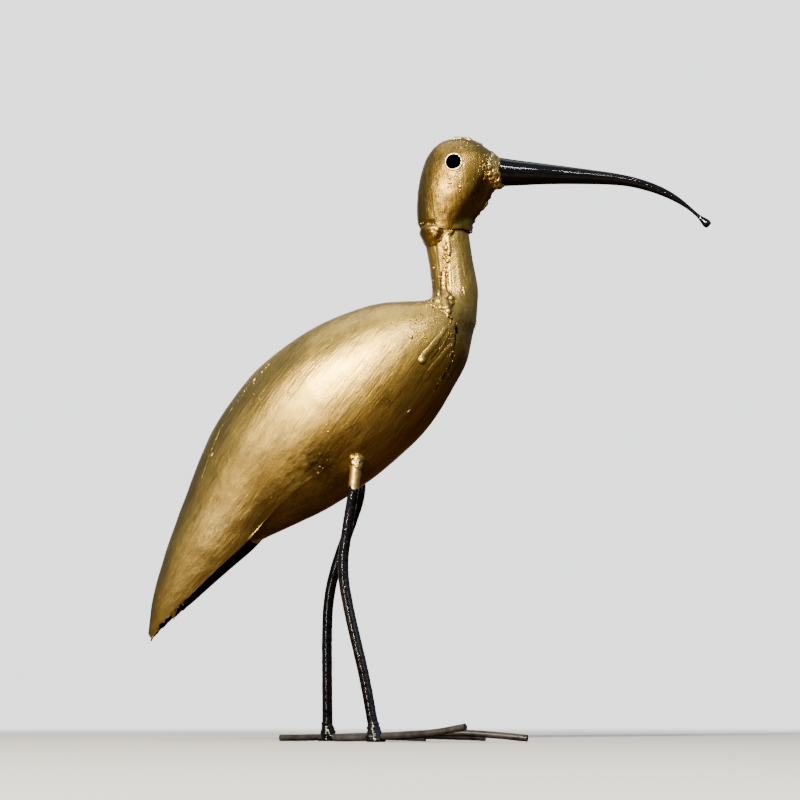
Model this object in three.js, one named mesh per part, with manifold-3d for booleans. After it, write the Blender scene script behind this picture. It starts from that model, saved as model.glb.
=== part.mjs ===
// A garden ibis of welded sheet steel. The back, breast, neck and head are hollow shells of thin sheet,
// and the beak, legs and toes are bars. Millimetres, +Z up, +X towards the beak and +Y to the bird's left.
// The origin is on the ground under the middle of the figure.
import * as THREE from 'three';
import { mergeVertices } from 'three/addons/utils/BufferGeometryUtils.js';
import Module from 'manifold-3d';

const wasm = await Module();
wasm.setup();

// Driving dimensions
const sheetThickness = 1.5;
const fitGap = 0.3;
const eyeHoleRadius = 7.7;
const toeRadius = 3.3;
const legRadius = 5.1;
const legTopSpread = 36;
const legFootSpread = 39;
const weldFootLead = 1;
const beakFlattening = 0.8;
const neckJointGap = 0.06;
const toeSlotOverrun = 0.02;

// Sections of the neck and body, from inside the head down to the tail tip. Each one runs from a point on
// the back line to a point on the breast line (x, z). Width is its half width, and seam is the angle from
// the back line, in degrees, at which the back sheets end.
const bodySections = [
  { back: [-1.5, 501], breast: [37.5, 502], width: 18.5, seam: 88 },
  { back: [-3.6, 489], breast: [39.8, 488.5], width: 19.5, seam: 90 },
  { back: [-1.4, 469.4], breast: [42.5, 468.4], width: 19.5, seam: 88 },
  { back: [1.4, 449.5], breast: [46, 448.5], width: 19.5, seam: 82 },
  { back: [3.6, 434.6], breast: [48.4, 432.6], width: 20.5, seam: 78 },
  { back: [2, 426.6], breast: [47.6, 416.9], width: 25, seam: 83 },
  { back: [-4.8, 424], breast: [46.2, 402.6], width: 32, seam: 96 },
  { back: [-18.6, 423.8], breast: [42, 389.2], width: 39, seam: 118 },
  { back: [-43.1, 423.2], breast: [36.6, 364.7], width: 48, seam: 139 },
  { back: [-71.7, 417], breast: [22.8, 338.5], width: 55, seam: 148 },
  { back: [-103.9, 404.6], breast: [1, 304], width: 58.5, seam: 142 },
  { back: [-138, 385], breast: [-30, 272], width: 59, seam: 134 },
  { back: [-167.7, 361], breast: [-66, 244.2], width: 56, seam: 130 },
  { back: [-192.3, 331.8], breast: [-105.6, 218.8], width: 49, seam: 129 },
  { back: [-212.7, 300.3], breast: [-143.8, 199.6], width: 41, seam: 138 },
  { back: [-226.6, 269.3], breast: [-162, 172], width: 35, seam: 131 },
  { back: [-237.2, 240.5], breast: [-184.5, 153.5], width: 31, seam: 128 },
  { back: [-248.4, 209.5], breast: [-208, 135.5], width: 26, seam: 126 },
  { back: [-260.3, 174.5], breast: [-232, 116], width: 20, seam: 122 },
  { back: [-270.2, 136], breast: [-253.7, 104.4], width: 12, seam: 118 },
  { back: [-274, 103.6], breast: [-269, 96.6], width: 4, seam: 112 },
];
const neckFootSection = 5.3;
const bellyEndSection = 14.9;
const tailTipSection = bodySections.length - 1;
const bellyTuckStart = 12.5;
const bellyTuckDepth = 2;
const bellyTuckGapFactor = 3;
const bellyFlatStart = 13.9;
const bellyFlatness = 0.9;
const legTrimStart = 8;

// Sections of the head, from the rim round the neck up to the crown, between the nape and the face.
const headSections = [
  { back: [-8.5, 488.5], breast: [42.2, 492.5], width: 22.8 },
  { back: [-11.2, 500], breast: [44.2, 503.5], width: 25 },
  { back: [-11.9, 517], breast: [54, 515], width: 27.5 },
  { back: [-11.2, 533], breast: [63.8, 531], width: 29 },
  { back: [-7.8, 551], breast: [69, 549], width: 29.3 },
  { back: [-2.6, 565], breast: [69, 564], width: 27 },
  { back: [5, 576.6], breast: [60, 573], width: 21.5 },
  { back: [15.5, 582.6], breast: [48.5, 580.5], width: 13.5 },
  { back: [32.2, 585.7], breast: [33, 585.6], width: 0.4 },
];
const eyeCentre = [27, 556.5];

// The beak's bar: a point on its axis (x, z) and its half height there, from inside the head to the tip.
const beakStations = [
  [58, 552, 15.5], [70, 551.2, 14.6], [86, 549.8, 13], [118, 547.6, 10.1], [146, 545, 8.1],
  [176, 541.8, 6.3], [196, 538.4, 5.2], [212, 533.6, 4.7], [226, 528, 4.1], [238, 521.5, 3.3],
  [247, 515.3, 2.3], [255, 508.6, 1.7], [262, 502, 1.6], [266.2, 498, 3.2], [269.5, 494.8, 4.2],
  [271.7, 492.6, 3.4],
];

// The legs' bars: points on the axis (x, z) and the radius there, from the belly down to the ground.
const rightLegStations = [
  [-65.6, 267, 6.6], [-66.4, 259, 5.6], [-68.7, 236, legRadius], [-72.6, 212, legRadius],
  [-76, 188, legRadius], [-78.4, 164, legRadius], [-75.4, 139, legRadius], [-67.9, 104, legRadius],
  [-58.2, 64, legRadius], [-50.9, 26, legRadius], [-45.8, -4, legRadius],
];
const leftLegStations = [
  [-72, 270, 6.6], [-72, 262, 5.6], [-72.3, 240, legRadius], [-79, 218, legRadius],
  [-88, 193, legRadius], [-96.4, 168, legRadius], [-102.5, 142, legRadius], [-104.8, 112, legRadius],
  [-104.7, 64, legRadius], [-104.3, 26, legRadius], [-104, -4, legRadius],
];

// Toe bars of a foot, measured from the ankle: forwards, outwards from the bird, and up.
const outerToePath = [
  [-44, -22, 3.5], [-25, -12.5, 3.6], [0, 0, 4.8], [33, 16.5, 6.8], [52, 26, 8.5], [68, 34, 10.8],
  [86, 43, 14.2],
];
const middleToePath = [
  [3, 0.5, 4.6], [21, 5, 6.6], [50, 11, 8.2], [84, 18, 8.4], [116, 25, 6.4], [142, 30, 3.9],
];
const innerToePath = [[2, -2.5, 4.6], [22, -9, 5.6], [50, -18, 6.6], [76, -26, 5.6], [98, -32, 3.7]];
const rightAnkle = [-44.5, -legFootSpread];
const leftAnkle = [-103.2, legFootSpread];
const rightToeLift = 1;
const leftToeLift = 0.35;

// The weld cone round each ankle: radius and height, from below the ground up to the bar.
const weldFootProfile = [[9.5, -5], [9.5, 3], [8, 7], [6.3, 11], [legRadius, 17]];
const groundBlock = { side: 60, depth: 20 };

// Faces along and round each sheet, bar and trimming body
const backFaces = [30, 22];
const breastFaces = [30, 10];
const neckFaces = [9, 8];
const headFaces = [14, 22];
const beakFaces = [26, 12];
const legFaces = [22, 10];
const bodyTrimFaces = [20, 48];
const headTrimFaces = [24, 40];
const toeSteps = 10;
const toeQuarterFaces = 4;
const eyeHoleFaces = 20;
const weldFootFaces = 12;

const goldPaint = new THREE.MeshStandardMaterial({ color: 0xb8974f, roughness: 0.38, metalness: 0.85 });
const blackPaint = new THREE.MeshStandardMaterial({ color: 0x0b0a0c, roughness: 0.25, metalness: 0.2 });
const wornBlackPaint = new THREE.MeshStandardMaterial({ color: 0x2b2723, roughness: 0.5, metalness: 0.4 });

// Geometry helpers

// A smooth line through rows of numbers, one row a point; it is read by a station number counted in rows.
function lineThrough(rows) {
  const curve = new THREE.CatmullRomCurve3(rows.map((row) => new THREE.Vector3(...row)));
  return (station) => curve.getPoint(THREE.MathUtils.clamp(station / (rows.length - 1), 0, 1));
}

// The surface over a list of sections: station along them, angle round each one from the back line.
function surfaceOver(sections) {
  const backLine = lineThrough(sections.map(({ back }) => [back[0], 0, back[1]]));
  const breastLine = lineThrough(sections.map(({ breast }) => [breast[0], 0, breast[1]]));
  const widthLine = lineThrough(sections.map(({ width }) => [width, 0, 0]));
  return (station, angle) => {
    const back = backLine(station);
    const middle = back.clone().add(breastLine(station)).multiplyScalar(0.5);
    const reach = back.sub(middle);
    const point = middle.addScaledVector(reach, Math.cos(angle));
    point.y += widthLine(station).x * Math.sin(angle);
    return point;
  };
}

// A point of a surface moved outwards along its normal.
function offsetPoint(surface, lastStation, station, angle, distance) {
  const reach = 0.02;
  const before = Math.max(station - reach, 0);
  const after = Math.min(station + reach, lastStation);
  const along = surface(after, angle).sub(surface(before, angle));
  const around = surface(station, angle + reach).sub(surface(station, angle - reach));
  const outward = around.cross(along).normalize();
  return surface(station, angle).addScaledVector(outward, distance);
}

// One closed body from points and triangles: equal points are joined and empty triangles dropped.
function closedGeometry(points, triangles) {
  const geometry = new THREE.BufferGeometry().setFromPoints(points);
  geometry.setIndex(triangles.flat());
  return welded(geometry);
}

function welded(geometry) {
  const bare = geometry.clone();
  bare.deleteAttribute('normal');
  bare.deleteAttribute('uv');
  const merged = mergeVertices(bare, 1e-4);
  const index = Array.from(merged.getIndex().array);
  const kept = [];
  for (let i = 0; i < index.length; i += 3) {
    const [a, b, c] = index.slice(i, i + 3);
    if (a !== b && b !== c && c !== a) kept.push(a, b, c);
  }
  merged.setIndex(kept);
  return merged;
}

// A sheet of metal: an outer and an inner skin over rows and columns of a surface, joined at the edges.
// pointAt(along, round, depth) gives a point of it, all shares from 0 to 1: depth 0 is the outer skin.
function sheetGeometry([rows, columns], pointAt, { closedAround = false, closedAtEnd = false } = {}) {
  const points = [];
  const triangles = [];
  for (const depth of [0, 1]) {
    for (let row = 0; row <= rows; row += 1) {
      for (let column = 0; column <= columns; column += 1) {
        points.push(pointAt(row / rows, column / columns, depth));
      }
    }
  }
  const skin = (rows + 1) * (columns + 1);
  const outer = (row, column) => row * (columns + 1) + column;
  const inner = (row, column) => skin + outer(row, column);
  const quad = (a, b, c, d) => triangles.push([a, b, c], [a, c, d]);
  for (let row = 0; row < rows; row += 1) {
    for (let column = 0; column < columns; column += 1) {
      const [a, b] = [[row, column], [row, column + 1]];
      const [c, d] = [[row + 1, column + 1], [row + 1, column]];
      quad(outer(...a), outer(...b), outer(...c), outer(...d));
      quad(inner(...d), inner(...c), inner(...b), inner(...a));
    }
  }
  for (let column = 0; column < columns; column += 1) {
    quad(inner(0, column), inner(0, column + 1), outer(0, column + 1), outer(0, column));
    if (closedAtEnd) continue;
    quad(outer(rows, column), outer(rows, column + 1), inner(rows, column + 1), inner(rows, column));
  }
  for (let row = 0; row < rows && !closedAround; row += 1) {
    quad(outer(row, 0), outer(row + 1, 0), inner(row + 1, 0), inner(row, 0));
    quad(inner(row, columns), inner(row + 1, columns), outer(row + 1, columns), outer(row, columns));
  }
  return closedGeometry(points, triangles);
}

// A closed skin of rings with flat ends. pointAt(along, round) gives a point, both shares from 0 to 1.
function ringedSolid([rows, columns], pointAt) {
  const points = [];
  const triangles = [];
  for (let row = 0; row <= rows; row += 1) {
    for (let column = 0; column < columns; column += 1) points.push(pointAt(row / rows, column / columns));
  }
  const at = (row, column) => row * columns + (column % columns);
  for (let row = 0; row < rows; row += 1) {
    for (let column = 0; column < columns; column += 1) {
      triangles.push([at(row, column), at(row, column + 1), at(row + 1, column + 1)]);
      triangles.push([at(row, column), at(row + 1, column + 1), at(row + 1, column)]);
    }
  }
  for (let column = 1; column < columns - 1; column += 1) {
    triangles.push([at(0, 0), at(0, column + 1), at(0, column)]);
    triangles.push([at(rows, 0), at(rows, column), at(rows, column + 1)]);
  }
  return toSolid(closedGeometry(points, triangles));
}

// A round bar of changing thickness along rows of [x, y, z, radius], as a lathed bar bent to its line.
function bentBar(rows, [ringCount, sides], sideways = 1) {
  const axisLine = lineThrough(rows.map(([x, y, z]) => [x, y, z]));
  const radiusLine = lineThrough(rows.map((row) => [row[3], 0, 0]));
  const lastStation = rows.length - 1;
  const profile = [new THREE.Vector2(0, 0)];
  for (let ring = 0; ring <= ringCount; ring += 1) {
    const station = (lastStation * ring) / ringCount;
    profile.push(new THREE.Vector2(radiusLine(station).x, station));
  }
  profile.push(new THREE.Vector2(0, lastStation));
  const geometry = welded(new THREE.LatheGeometry(profile, sides));
  const position = geometry.getAttribute('position');
  const step = 0.05;
  for (let i = 0; i < position.count; i += 1) {
    const station = position.getY(i);
    const ahead = axisLine(Math.min(station + step, lastStation));
    const tangent = ahead.sub(axisLine(Math.max(station - step, 0))).normalize();
    const across = new THREE.Vector3(0, 1, 0).addScaledVector(tangent, -tangent.y).normalize();
    const over = new THREE.Vector3().crossVectors(across, tangent);
    const point = axisLine(station).addScaledVector(over, position.getX(i));
    point.addScaledVector(across, position.getZ(i) * sideways);
    position.setXYZ(i, point.x, point.y, point.z);
  }
  return facingOut(geometry);
}

function signedVolume(geometry) {
  const position = geometry.getAttribute('position');
  const index = geometry.getIndex();
  const corner = (i) => new THREE.Vector3().fromBufferAttribute(position, index.getX(i));
  let volume = 0;
  for (let i = 0; i < index.count; i += 3) volume += corner(i).dot(corner(i + 1).cross(corner(i + 2))) / 6;
  return volume;
}

function facingOut(geometry) {
  if (signedVolume(geometry) > 0) return geometry;
  const index = Array.from(geometry.getIndex().array).reverse();
  geometry.setIndex(index);
  return geometry;
}

function toSolid(geometry) {
  const bare = facingOut(welded(geometry));
  return new wasm.Manifold(new wasm.Mesh({
    numProp: 3,
    vertProperties: Float32Array.from(bare.getAttribute('position').array),
    triVerts: Uint32Array.from(bare.getIndex().array),
  }));
}

function toGeometry(solid) {
  const { vertProperties, triVerts } = solid.getMesh();
  const geometry = new THREE.BufferGeometry();
  geometry.setAttribute('position', new THREE.BufferAttribute(Float32Array.from(vertProperties), 3));
  geometry.setIndex(Array.from(triVerts));
  return geometry;
}

// Sheets of the body

const bodySurface = surfaceOver(bodySections);
const seamLine = lineThrough(bodySections.map(({ seam }) => [THREE.MathUtils.degToRad(seam), 0, 0]));
const widthLine = lineThrough(bodySections.map(({ width }) => [width, 0, 0]));
const bodyPoint = (station, angle, distance) => (
  offsetPoint(bodySurface, tailTipSection, station, angle, distance)
);
const seamAngle = (station) => seamLine(station).x;
const gapAngle = (station) => fitGap / widthLine(station).x;

function backSheet(fromStation, toStation, faces) {
  return sheetGeometry(faces, (along, round, depth) => {
    const station = THREE.MathUtils.lerp(fromStation, toStation, along);
    const edge = seamAngle(station) - gapAngle(station);
    const angle = THREE.MathUtils.lerp(-edge, edge, round);
    return bodyPoint(station, angle, -depth * sheetThickness);
  });
}

// The breast sheet follows the body, but runs flat between the back sheet's edges where the belly ends.
function bellySurface(station, angle) {
  const point = bodySurface(station, angle);
  const seamPoint = bodySurface(station, seamAngle(station));
  const flatness = bellyFlatness * THREE.MathUtils.smoothstep(station, bellyFlatStart, bellyEndSection);
  return point.lerp(seamPoint.setY(point.y), flatness);
}

function breastSheet() {
  return sheetGeometry(breastFaces, (along, round, depth) => {
    const station = bellyEndSection * along;
    const tuck = bellyTuckDepth * THREE.MathUtils.smoothstep(station, bellyTuckStart, bellyEndSection);
    const edge = seamAngle(station) + gapAngle(station) * (1 + bellyTuckGapFactor * tuck);
    const angle = THREE.MathUtils.lerp(edge, 2 * Math.PI - edge, round);
    return offsetPoint(bellySurface, bellyEndSection, station, angle, -tuck - depth * sheetThickness);
  });
}

// The closed outline of the body between two stations, with a clearance round it, to trim the legs.
function bodyEnvelope(fromStation, toStation, clearance) {
  return ringedSolid(bodyTrimFaces, (along, round) => (
    bodyPoint(THREE.MathUtils.lerp(fromStation, toStation, along), 2 * Math.PI * round, clearance)
  ));
}

// Head and beak

const headSurface = surfaceOver(headSections);
const crownSection = headSections.length - 1;

// A point of the head at a height and round it, from the rim up to the crown, moved inwards by a depth.
function headPoint(along, round, depth) {
  return offsetPoint(headSurface, crownSection, crownSection * along, -2 * Math.PI * round, depth);
}

function headGeometry() {
  const shell = sheetGeometry(headFaces, (along, round, depth) => {
    if (along < 1) return headPoint(along, round, depth * sheetThickness);
    return headSurface(crownSection, 0).add(new THREE.Vector3(0, 0, -depth * sheetThickness));
  }, { closedAround: true, closedAtEnd: true });
  const headWidth = 4 * Math.max(...headSections.map(({ width }) => width));
  const drill = new THREE.CylinderGeometry(eyeHoleRadius, eyeHoleRadius, headWidth, eyeHoleFaces);
  drill.translate(eyeCentre[0], 0, eyeCentre[1]);
  return toGeometry(toSolid(shell).subtract(toSolid(drill)));
}

function headEnvelope(clearance) {
  return ringedSolid(headTrimFaces, (along, round) => headPoint(along, round, -clearance));
}

function beakGeometry() {
  const rows = beakStations.map(([x, z, radius]) => [x, 0, z, radius]);
  const bar = bentBar(rows, beakFaces, beakFlattening);
  return toGeometry(toSolid(bar).subtract(headEnvelope(fitGap)));
}

// Legs and toes

function toeSolid(path, { ankle, outwards, lift }, radius, overrun = 0) {
  const points = path.map(([ahead, out, up]) => {
    const height = THREE.MathUtils.lerp(toeRadius, up, lift);
    return new THREE.Vector3(ankle[0] + ahead, ankle[1] + outwards * out, height);
  });
  const start = points[0].clone().lerp(points[1], -overrun);
  const line = new THREE.CatmullRomCurve3([start, ...points.slice(1)]);
  const section = new THREE.Shape().absarc(0, 0, radius, 0, 2 * Math.PI);
  return toSolid(new THREE.ExtrudeGeometry(section, {
    steps: toeSteps, curveSegments: toeQuarterFaces, bevelEnabled: false, extrudePath: line,
  }));
}

function footSolids(foot) {
  const outer = toeSolid(outerToePath, foot, toeRadius);
  const outerRoom = toeSolid(outerToePath, foot, toeRadius + fitGap);
  const middleRoom = toeSolid(middleToePath, foot, toeRadius + fitGap, toeSlotOverrun);
  const innerRoom = toeSolid(innerToePath, foot, toeRadius + fitGap, toeSlotOverrun);
  const middle = toeSolid(middleToePath, foot, toeRadius).subtract(outerRoom);
  const inner = toeSolid(innerToePath, foot, toeRadius).subtract(outerRoom).subtract(middleRoom);
  return { outer, middle, inner, room: outerRoom.add(middleRoom).add(innerRoom) };
}

function legGeometry(stations, { ankle, outwards }, toeRoom, body) {
  const lastRow = stations.length - 1;
  const rows = stations.map(([x, z, radius], row) => {
    const spread = THREE.MathUtils.lerp(legTopSpread, legFootSpread, row / lastRow);
    return [x, outwards * spread, z, radius];
  });
  const [bottom, top] = [weldFootProfile[0][1], weldFootProfile.at(-1)[1]];
  const profile = [[0, bottom], ...weldFootProfile, [0, top]];
  const outline = profile.map(([radius, height]) => new THREE.Vector2(radius, height));
  const weldFoot = new THREE.LatheGeometry(outline, weldFootFaces).rotateX(Math.PI / 2);
  weldFoot.translate(ankle[0] + weldFootLead, ankle[1], 0);
  const ground = new THREE.BoxGeometry(groundBlock.side, groundBlock.side, groundBlock.depth);
  ground.translate(ankle[0], ankle[1], -groundBlock.depth / 2);
  const leg = toSolid(bentBar(rows, legFaces)).add(toSolid(weldFoot));
  return toGeometry(leg.subtract(toSolid(ground)).subtract(toeRoom).subtract(body));
}

// The figure

const figure = new THREE.Group();

function place(name, geometry, material) {
  const mesh = new THREE.Mesh(geometry, material);
  mesh.name = name;
  figure.add(mesh);
}

place('back_shell', backSheet(neckFootSection, tailTipSection, backFaces), goldPaint);
place('breast_plate', breastSheet(), goldPaint);
place('neck_back', backSheet(0, neckFootSection - neckJointGap, neckFaces), goldPaint);
place('head_shell', headGeometry(), goldPaint);
place('beak', beakGeometry(), blackPaint);

const trimBody = bodyEnvelope(legTrimStart, bellyEndSection, fitGap);
const feet = [
  { side: 'right', ankle: rightAnkle, outwards: -1, lift: rightToeLift, stations: rightLegStations },
  { side: 'left', ankle: leftAnkle, outwards: 1, lift: leftToeLift, stations: leftLegStations },
];
for (const foot of feet) {
  const { outer, middle, inner, room } = footSolids(foot);
  place(`${foot.side}_leg`, legGeometry(foot.stations, foot, room, trimBody), blackPaint);
  place(`${foot.side}_outer_toe`, toGeometry(outer), wornBlackPaint);
  place(`${foot.side}_middle_toe`, toGeometry(middle), wornBlackPaint);
  place(`${foot.side}_inner_toe`, toGeometry(inner), wornBlackPaint);
}

export default figure;
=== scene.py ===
"""A garden ibis of welded sheet steel, painted gold, with a black beak, legs and toes.

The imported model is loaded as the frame. Each sheet and bar is then made again as a finer piece in the
same place, with the weld metal, paint runs and wear that a hand-made figure shows. Metres, +Z up, +X
towards the beak and +Y to the bird's left.
"""

import logging
import math
import random
from dataclasses import dataclass, field
from enum import Enum
from typing import Callable, Sequence

import bmesh
import bpy
from mathutils import Matrix, Vector, noise
from mathutils.bvhtree import BVHTree
from mathutils.kdtree import KDTree


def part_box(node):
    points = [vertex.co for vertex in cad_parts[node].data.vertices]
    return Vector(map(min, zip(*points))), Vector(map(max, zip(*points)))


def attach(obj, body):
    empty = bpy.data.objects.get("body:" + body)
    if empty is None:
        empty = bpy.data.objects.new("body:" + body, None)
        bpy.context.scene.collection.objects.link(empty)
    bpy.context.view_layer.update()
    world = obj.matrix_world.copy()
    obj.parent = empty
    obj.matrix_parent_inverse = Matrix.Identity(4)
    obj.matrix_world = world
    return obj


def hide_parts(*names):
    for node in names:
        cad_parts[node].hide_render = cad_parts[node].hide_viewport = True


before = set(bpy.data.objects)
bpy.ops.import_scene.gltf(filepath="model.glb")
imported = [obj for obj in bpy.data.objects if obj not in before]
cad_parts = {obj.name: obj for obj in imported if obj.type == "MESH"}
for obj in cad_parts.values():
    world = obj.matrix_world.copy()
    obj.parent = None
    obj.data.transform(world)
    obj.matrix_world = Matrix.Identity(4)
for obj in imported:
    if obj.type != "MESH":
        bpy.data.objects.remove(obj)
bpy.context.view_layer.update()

LOG = logging.getLogger("ibis")
MM = 0.001
BODY = "root"
SHEET = 1.5 * MM
MERGE_GAP = 0.002 * MM
SHARP = math.radians(50)
UP = Vector((0, 0, 1))
AHEAD = Vector((1, 0, 0))

Relief = Callable[[Vector, Vector], float]
PixelPoint = tuple[float, float]
Colour = tuple[float, float, float]
Span = tuple[float, float]
Place = tuple[Vector, Vector]
Row = Sequence[float]
BMesh = bmesh.types.BMesh
Material = bpy.types.Material
NodeTree = bpy.types.NodeTree
Socket = bpy.types.NodeSocket
Inputs = dict[str | int, object]


class Slot(Enum):
    """The record's material slots."""

    GOLD = "gold_paint"
    BLACK = "black_gloss_paint"
    WORN = "worn_black_paint"


class Side(Enum):
    """The bird's own sides, with the sign of y there."""

    RIGHT = -1
    LEFT = 1


@dataclass(frozen=True)
class PhotoView:
    """The reference view: where its camera stands, and how its pixels point into the scene."""

    location: Vector = Vector((0.249456, -2.262803, 0.023792))
    yaw: float = math.radians(7.0)
    pitch: float = math.radians(7.6)
    lens_mm: float = 106.7
    sensor_mm: float = 36.0
    side_px: float = 800.0
    clip_end: float = 100.0

    def axes(self) -> tuple[Vector, Vector, Vector]:
        """Work out the way the camera stands.

        Returns:
            Its right, up and forward directions.
        """
        forward = Vector((
            -math.sin(self.yaw) * math.cos(self.pitch), math.cos(self.yaw) * math.cos(self.pitch),
            math.sin(self.pitch),
        ))
        right = Vector((math.cos(self.yaw), math.sin(self.yaw), 0.0))
        return right, right.cross(forward), forward

    def direction(self, pixel: PixelPoint) -> Vector:
        """Work out where a pixel looks.

        Args:
            pixel: The pixel's place in the reference view.

        Returns:
            The unit direction of its line of sight.
        """
        right, up, forward = self.axes()
        across = (pixel[0] / self.side_px - 0.5) * self.sensor_mm
        above = (0.5 - pixel[1] / self.side_px) * self.sensor_mm
        return (forward * self.lens_mm + right * across + up * above).normalized()

    def at_depth(self, pixel: PixelPoint, y: float) -> Vector:
        """Return the point that a pixel sees on the plane of one y."""
        ahead = self.direction(pixel)
        return self.location + ahead * ((y - self.location.y) / ahead.y)

    def place_camera(self) -> None:
        """Make the scene's camera at this view."""
        right, up, forward = self.axes()
        data = bpy.data.cameras.new("photo_camera")
        data.lens = self.lens_mm
        data.sensor_width = self.sensor_mm
        data.clip_end = self.clip_end
        camera = bpy.data.objects.new("photo_camera", data)
        turn = Matrix((right, up, -forward)).transposed().to_4x4()
        camera.matrix_world = Matrix.Translation(self.location) @ turn
        bpy.context.scene.collection.objects.link(camera)
        bpy.context.scene.camera = camera


VIEW = PhotoView()


# Mesh tools


def merged_copy(node: str) -> BMesh:
    """Copy a CAD node's mesh, joined at its vertices and in four-sided faces.

    Args:
        node: The CAD node's name.

    Returns:
        A new bmesh, which the caller frees.
    """
    bm = bmesh.new()
    bm.from_mesh(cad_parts[node].data)
    bmesh.ops.remove_doubles(bm, verts=bm.verts, dist=MERGE_GAP)
    bmesh.ops.join_triangles(
        bm, faces=bm.faces[:], angle_face_threshold=math.radians(60),
        angle_shape_threshold=math.radians(180),
    )
    return bm


def face_islands(bm: BMesh) -> list[list[bmesh.types.BMFace]]:
    """Find the groups of faces that hang together.

    Args:
        bm: The mesh.

    Returns:
        The groups, the largest area first.
    """
    seen: set[bmesh.types.BMFace] = set()
    groups = []
    for start in bm.faces:
        if start in seen:
            continue
        seen.add(start)
        group = [start]
        for face in group:
            for neighbour in (other for edge in face.edges for other in edge.link_faces):
                if neighbour not in seen:
                    seen.add(neighbour)
                    group.append(neighbour)
        groups.append(group)
    return sorted(groups, key=lambda group: -sum(face.calc_area() for face in group))


def outer_skin(node: str) -> BMesh:
    """Take the outer skin off a thin sheet node.

    Args:
        node: The CAD node's name.

    Returns:
        The skin, open at its edges.
    """
    bm = merged_copy(node)
    sharp = [edge for edge in bm.edges if edge.is_manifold and edge.calc_face_angle(0) > SHARP]
    bmesh.ops.split_edges(bm, edges=sharp)
    spare = [face for group in face_islands(bm)[1:] for face in group]
    bmesh.ops.delete(bm, geom=spare, context="FACES")
    return bm


def mesh_from(bm: BMesh, name: str) -> bpy.types.Mesh:
    """Write a bmesh into a new mesh and free it.

    Args:
        bm: The bmesh.
        name: The mesh's name.

    Returns:
        The mesh.
    """
    mesh = bpy.data.meshes.new(name)
    bm.to_mesh(mesh)
    bm.free()
    return mesh


def with_modifier(bm: BMesh, kind: str, **settings: object) -> BMesh:
    """Run a modifier over a bmesh.

    Args:
        bm: The mesh to work on. It is freed.
        kind: The modifier's type.
        **settings: The modifier's settings.

    Returns:
        The modified mesh, as a new bmesh.
    """
    work = bpy.data.objects.new("work", mesh_from(bm, "work"))
    bpy.context.scene.collection.objects.link(work)
    modifier = work.modifiers.new(kind, kind)
    for key, value in settings.items():
        setattr(modifier, key, value)
    bpy.context.view_layer.update()
    evaluated = work.evaluated_get(bpy.context.evaluated_depsgraph_get())
    result = bmesh.new()
    result.from_mesh(evaluated.to_mesh())
    evaluated.to_mesh_clear()
    mesh = work.data
    bpy.data.objects.remove(work)
    bpy.data.meshes.remove(mesh)
    return result


def refined(bm: BMesh, levels: int) -> BMesh:
    """Divide a mesh smoothly, keeping the corners of its open edges."""
    settings = {"levels": levels, "render_levels": levels, "boundary_smooth": "PRESERVE_CORNERS"}
    return with_modifier(bm, "SUBSURF", **settings)


def push_out(bm: BMesh, relief: Relief) -> None:
    """Move each vertex along its normal.

    Args:
        bm: The mesh.
        relief: Gives how far, at a point and normal.
    """
    bm.normal_update()
    moves = [vert.normal * relief(vert.co, vert.normal) for vert in bm.verts]
    for vert, move in zip(bm.verts, moves):
        vert.co += move


def lift_to_ground(bm: BMesh) -> None:
    """Bring what reaches below the ground up to it."""
    for vert in bm.verts:
        vert.co.z = max(vert.co.z, 0.0)


def eased(value: float) -> float:
    """Return a smooth step of a share, held between 0 and 1."""
    share = min(max(value, 0.0), 1.0)
    return share * share * (3.0 - 2.0 * share)


def line_point(rows: Sequence[Row], station: float) -> list[float]:
    """Find a point of the smooth line through rows of numbers.

    Args:
        rows: The rows that the line goes through.
        station: The place along it, counted in rows.

    Returns:
        The row of numbers there.
    """
    last = len(rows) - 1
    index = min(int(max(station, 0.0)), last - 1)
    share = station - index
    before, start = rows[max(index - 1, 0)], rows[index]
    end, after = rows[index + 1], rows[min(index + 2, last)]
    weights = (
        -0.5 * share + share**2 - 0.5 * share**3,
        1.0 - 2.5 * share**2 + 1.5 * share**3,
        0.5 * share + 2.0 * share**2 - 1.5 * share**3,
        -0.5 * share**2 + 0.5 * share**3,
    )
    return [sum(w * v for w, v in zip(weights, values)) for values in zip(before, start, end, after)]


def bent_bar(rows: Sequence[Row], sides: int, rings: int, relief: Relief) -> BMesh:
    """Make a round bar along a line.

    Args:
        rows: Points of the axis, each with the bar's radius there: x, y, z, radius.
        sides: Faces round the bar.
        rings: Rows of faces along it.
        relief: What is added along the normal.

    Returns:
        The closed bar with flat ends.
    """
    bm = bmesh.new()
    bmesh.ops.create_cone(
        bm, cap_ends=True, cap_tris=False, segments=sides, radius1=1.0, radius2=1.0, depth=1.0
    )
    lengthwise = [edge for edge in bm.edges if abs(edge.verts[0].co.z - edge.verts[1].co.z) > 0.5]
    bmesh.ops.subdivide_edges(bm, edges=lengthwise, cuts=rings - 1, use_grid_fill=False)
    last = len(rows) - 1
    step = 0.03
    for vert in bm.verts:
        station = (vert.co.z + 0.5) * last
        ahead = Vector(line_point(rows, min(station + step, last))[:3])
        tangent = (ahead - Vector(line_point(rows, max(station - step, 0.0))[:3])).normalized()
        x, y, z, radius = line_point(rows, station)
        across = tangent.orthogonal() if abs(tangent.y) > 0.9 else Vector((0, 1, 0)).cross(tangent)
        across.normalize()
        over = tangent.cross(across)
        vert.co = Vector((x, y, z)) + (across * vert.co.x + over * vert.co.y) * radius
    bmesh.ops.recalc_face_normals(bm, faces=bm.faces)
    push_out(bm, relief)
    return bm


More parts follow.
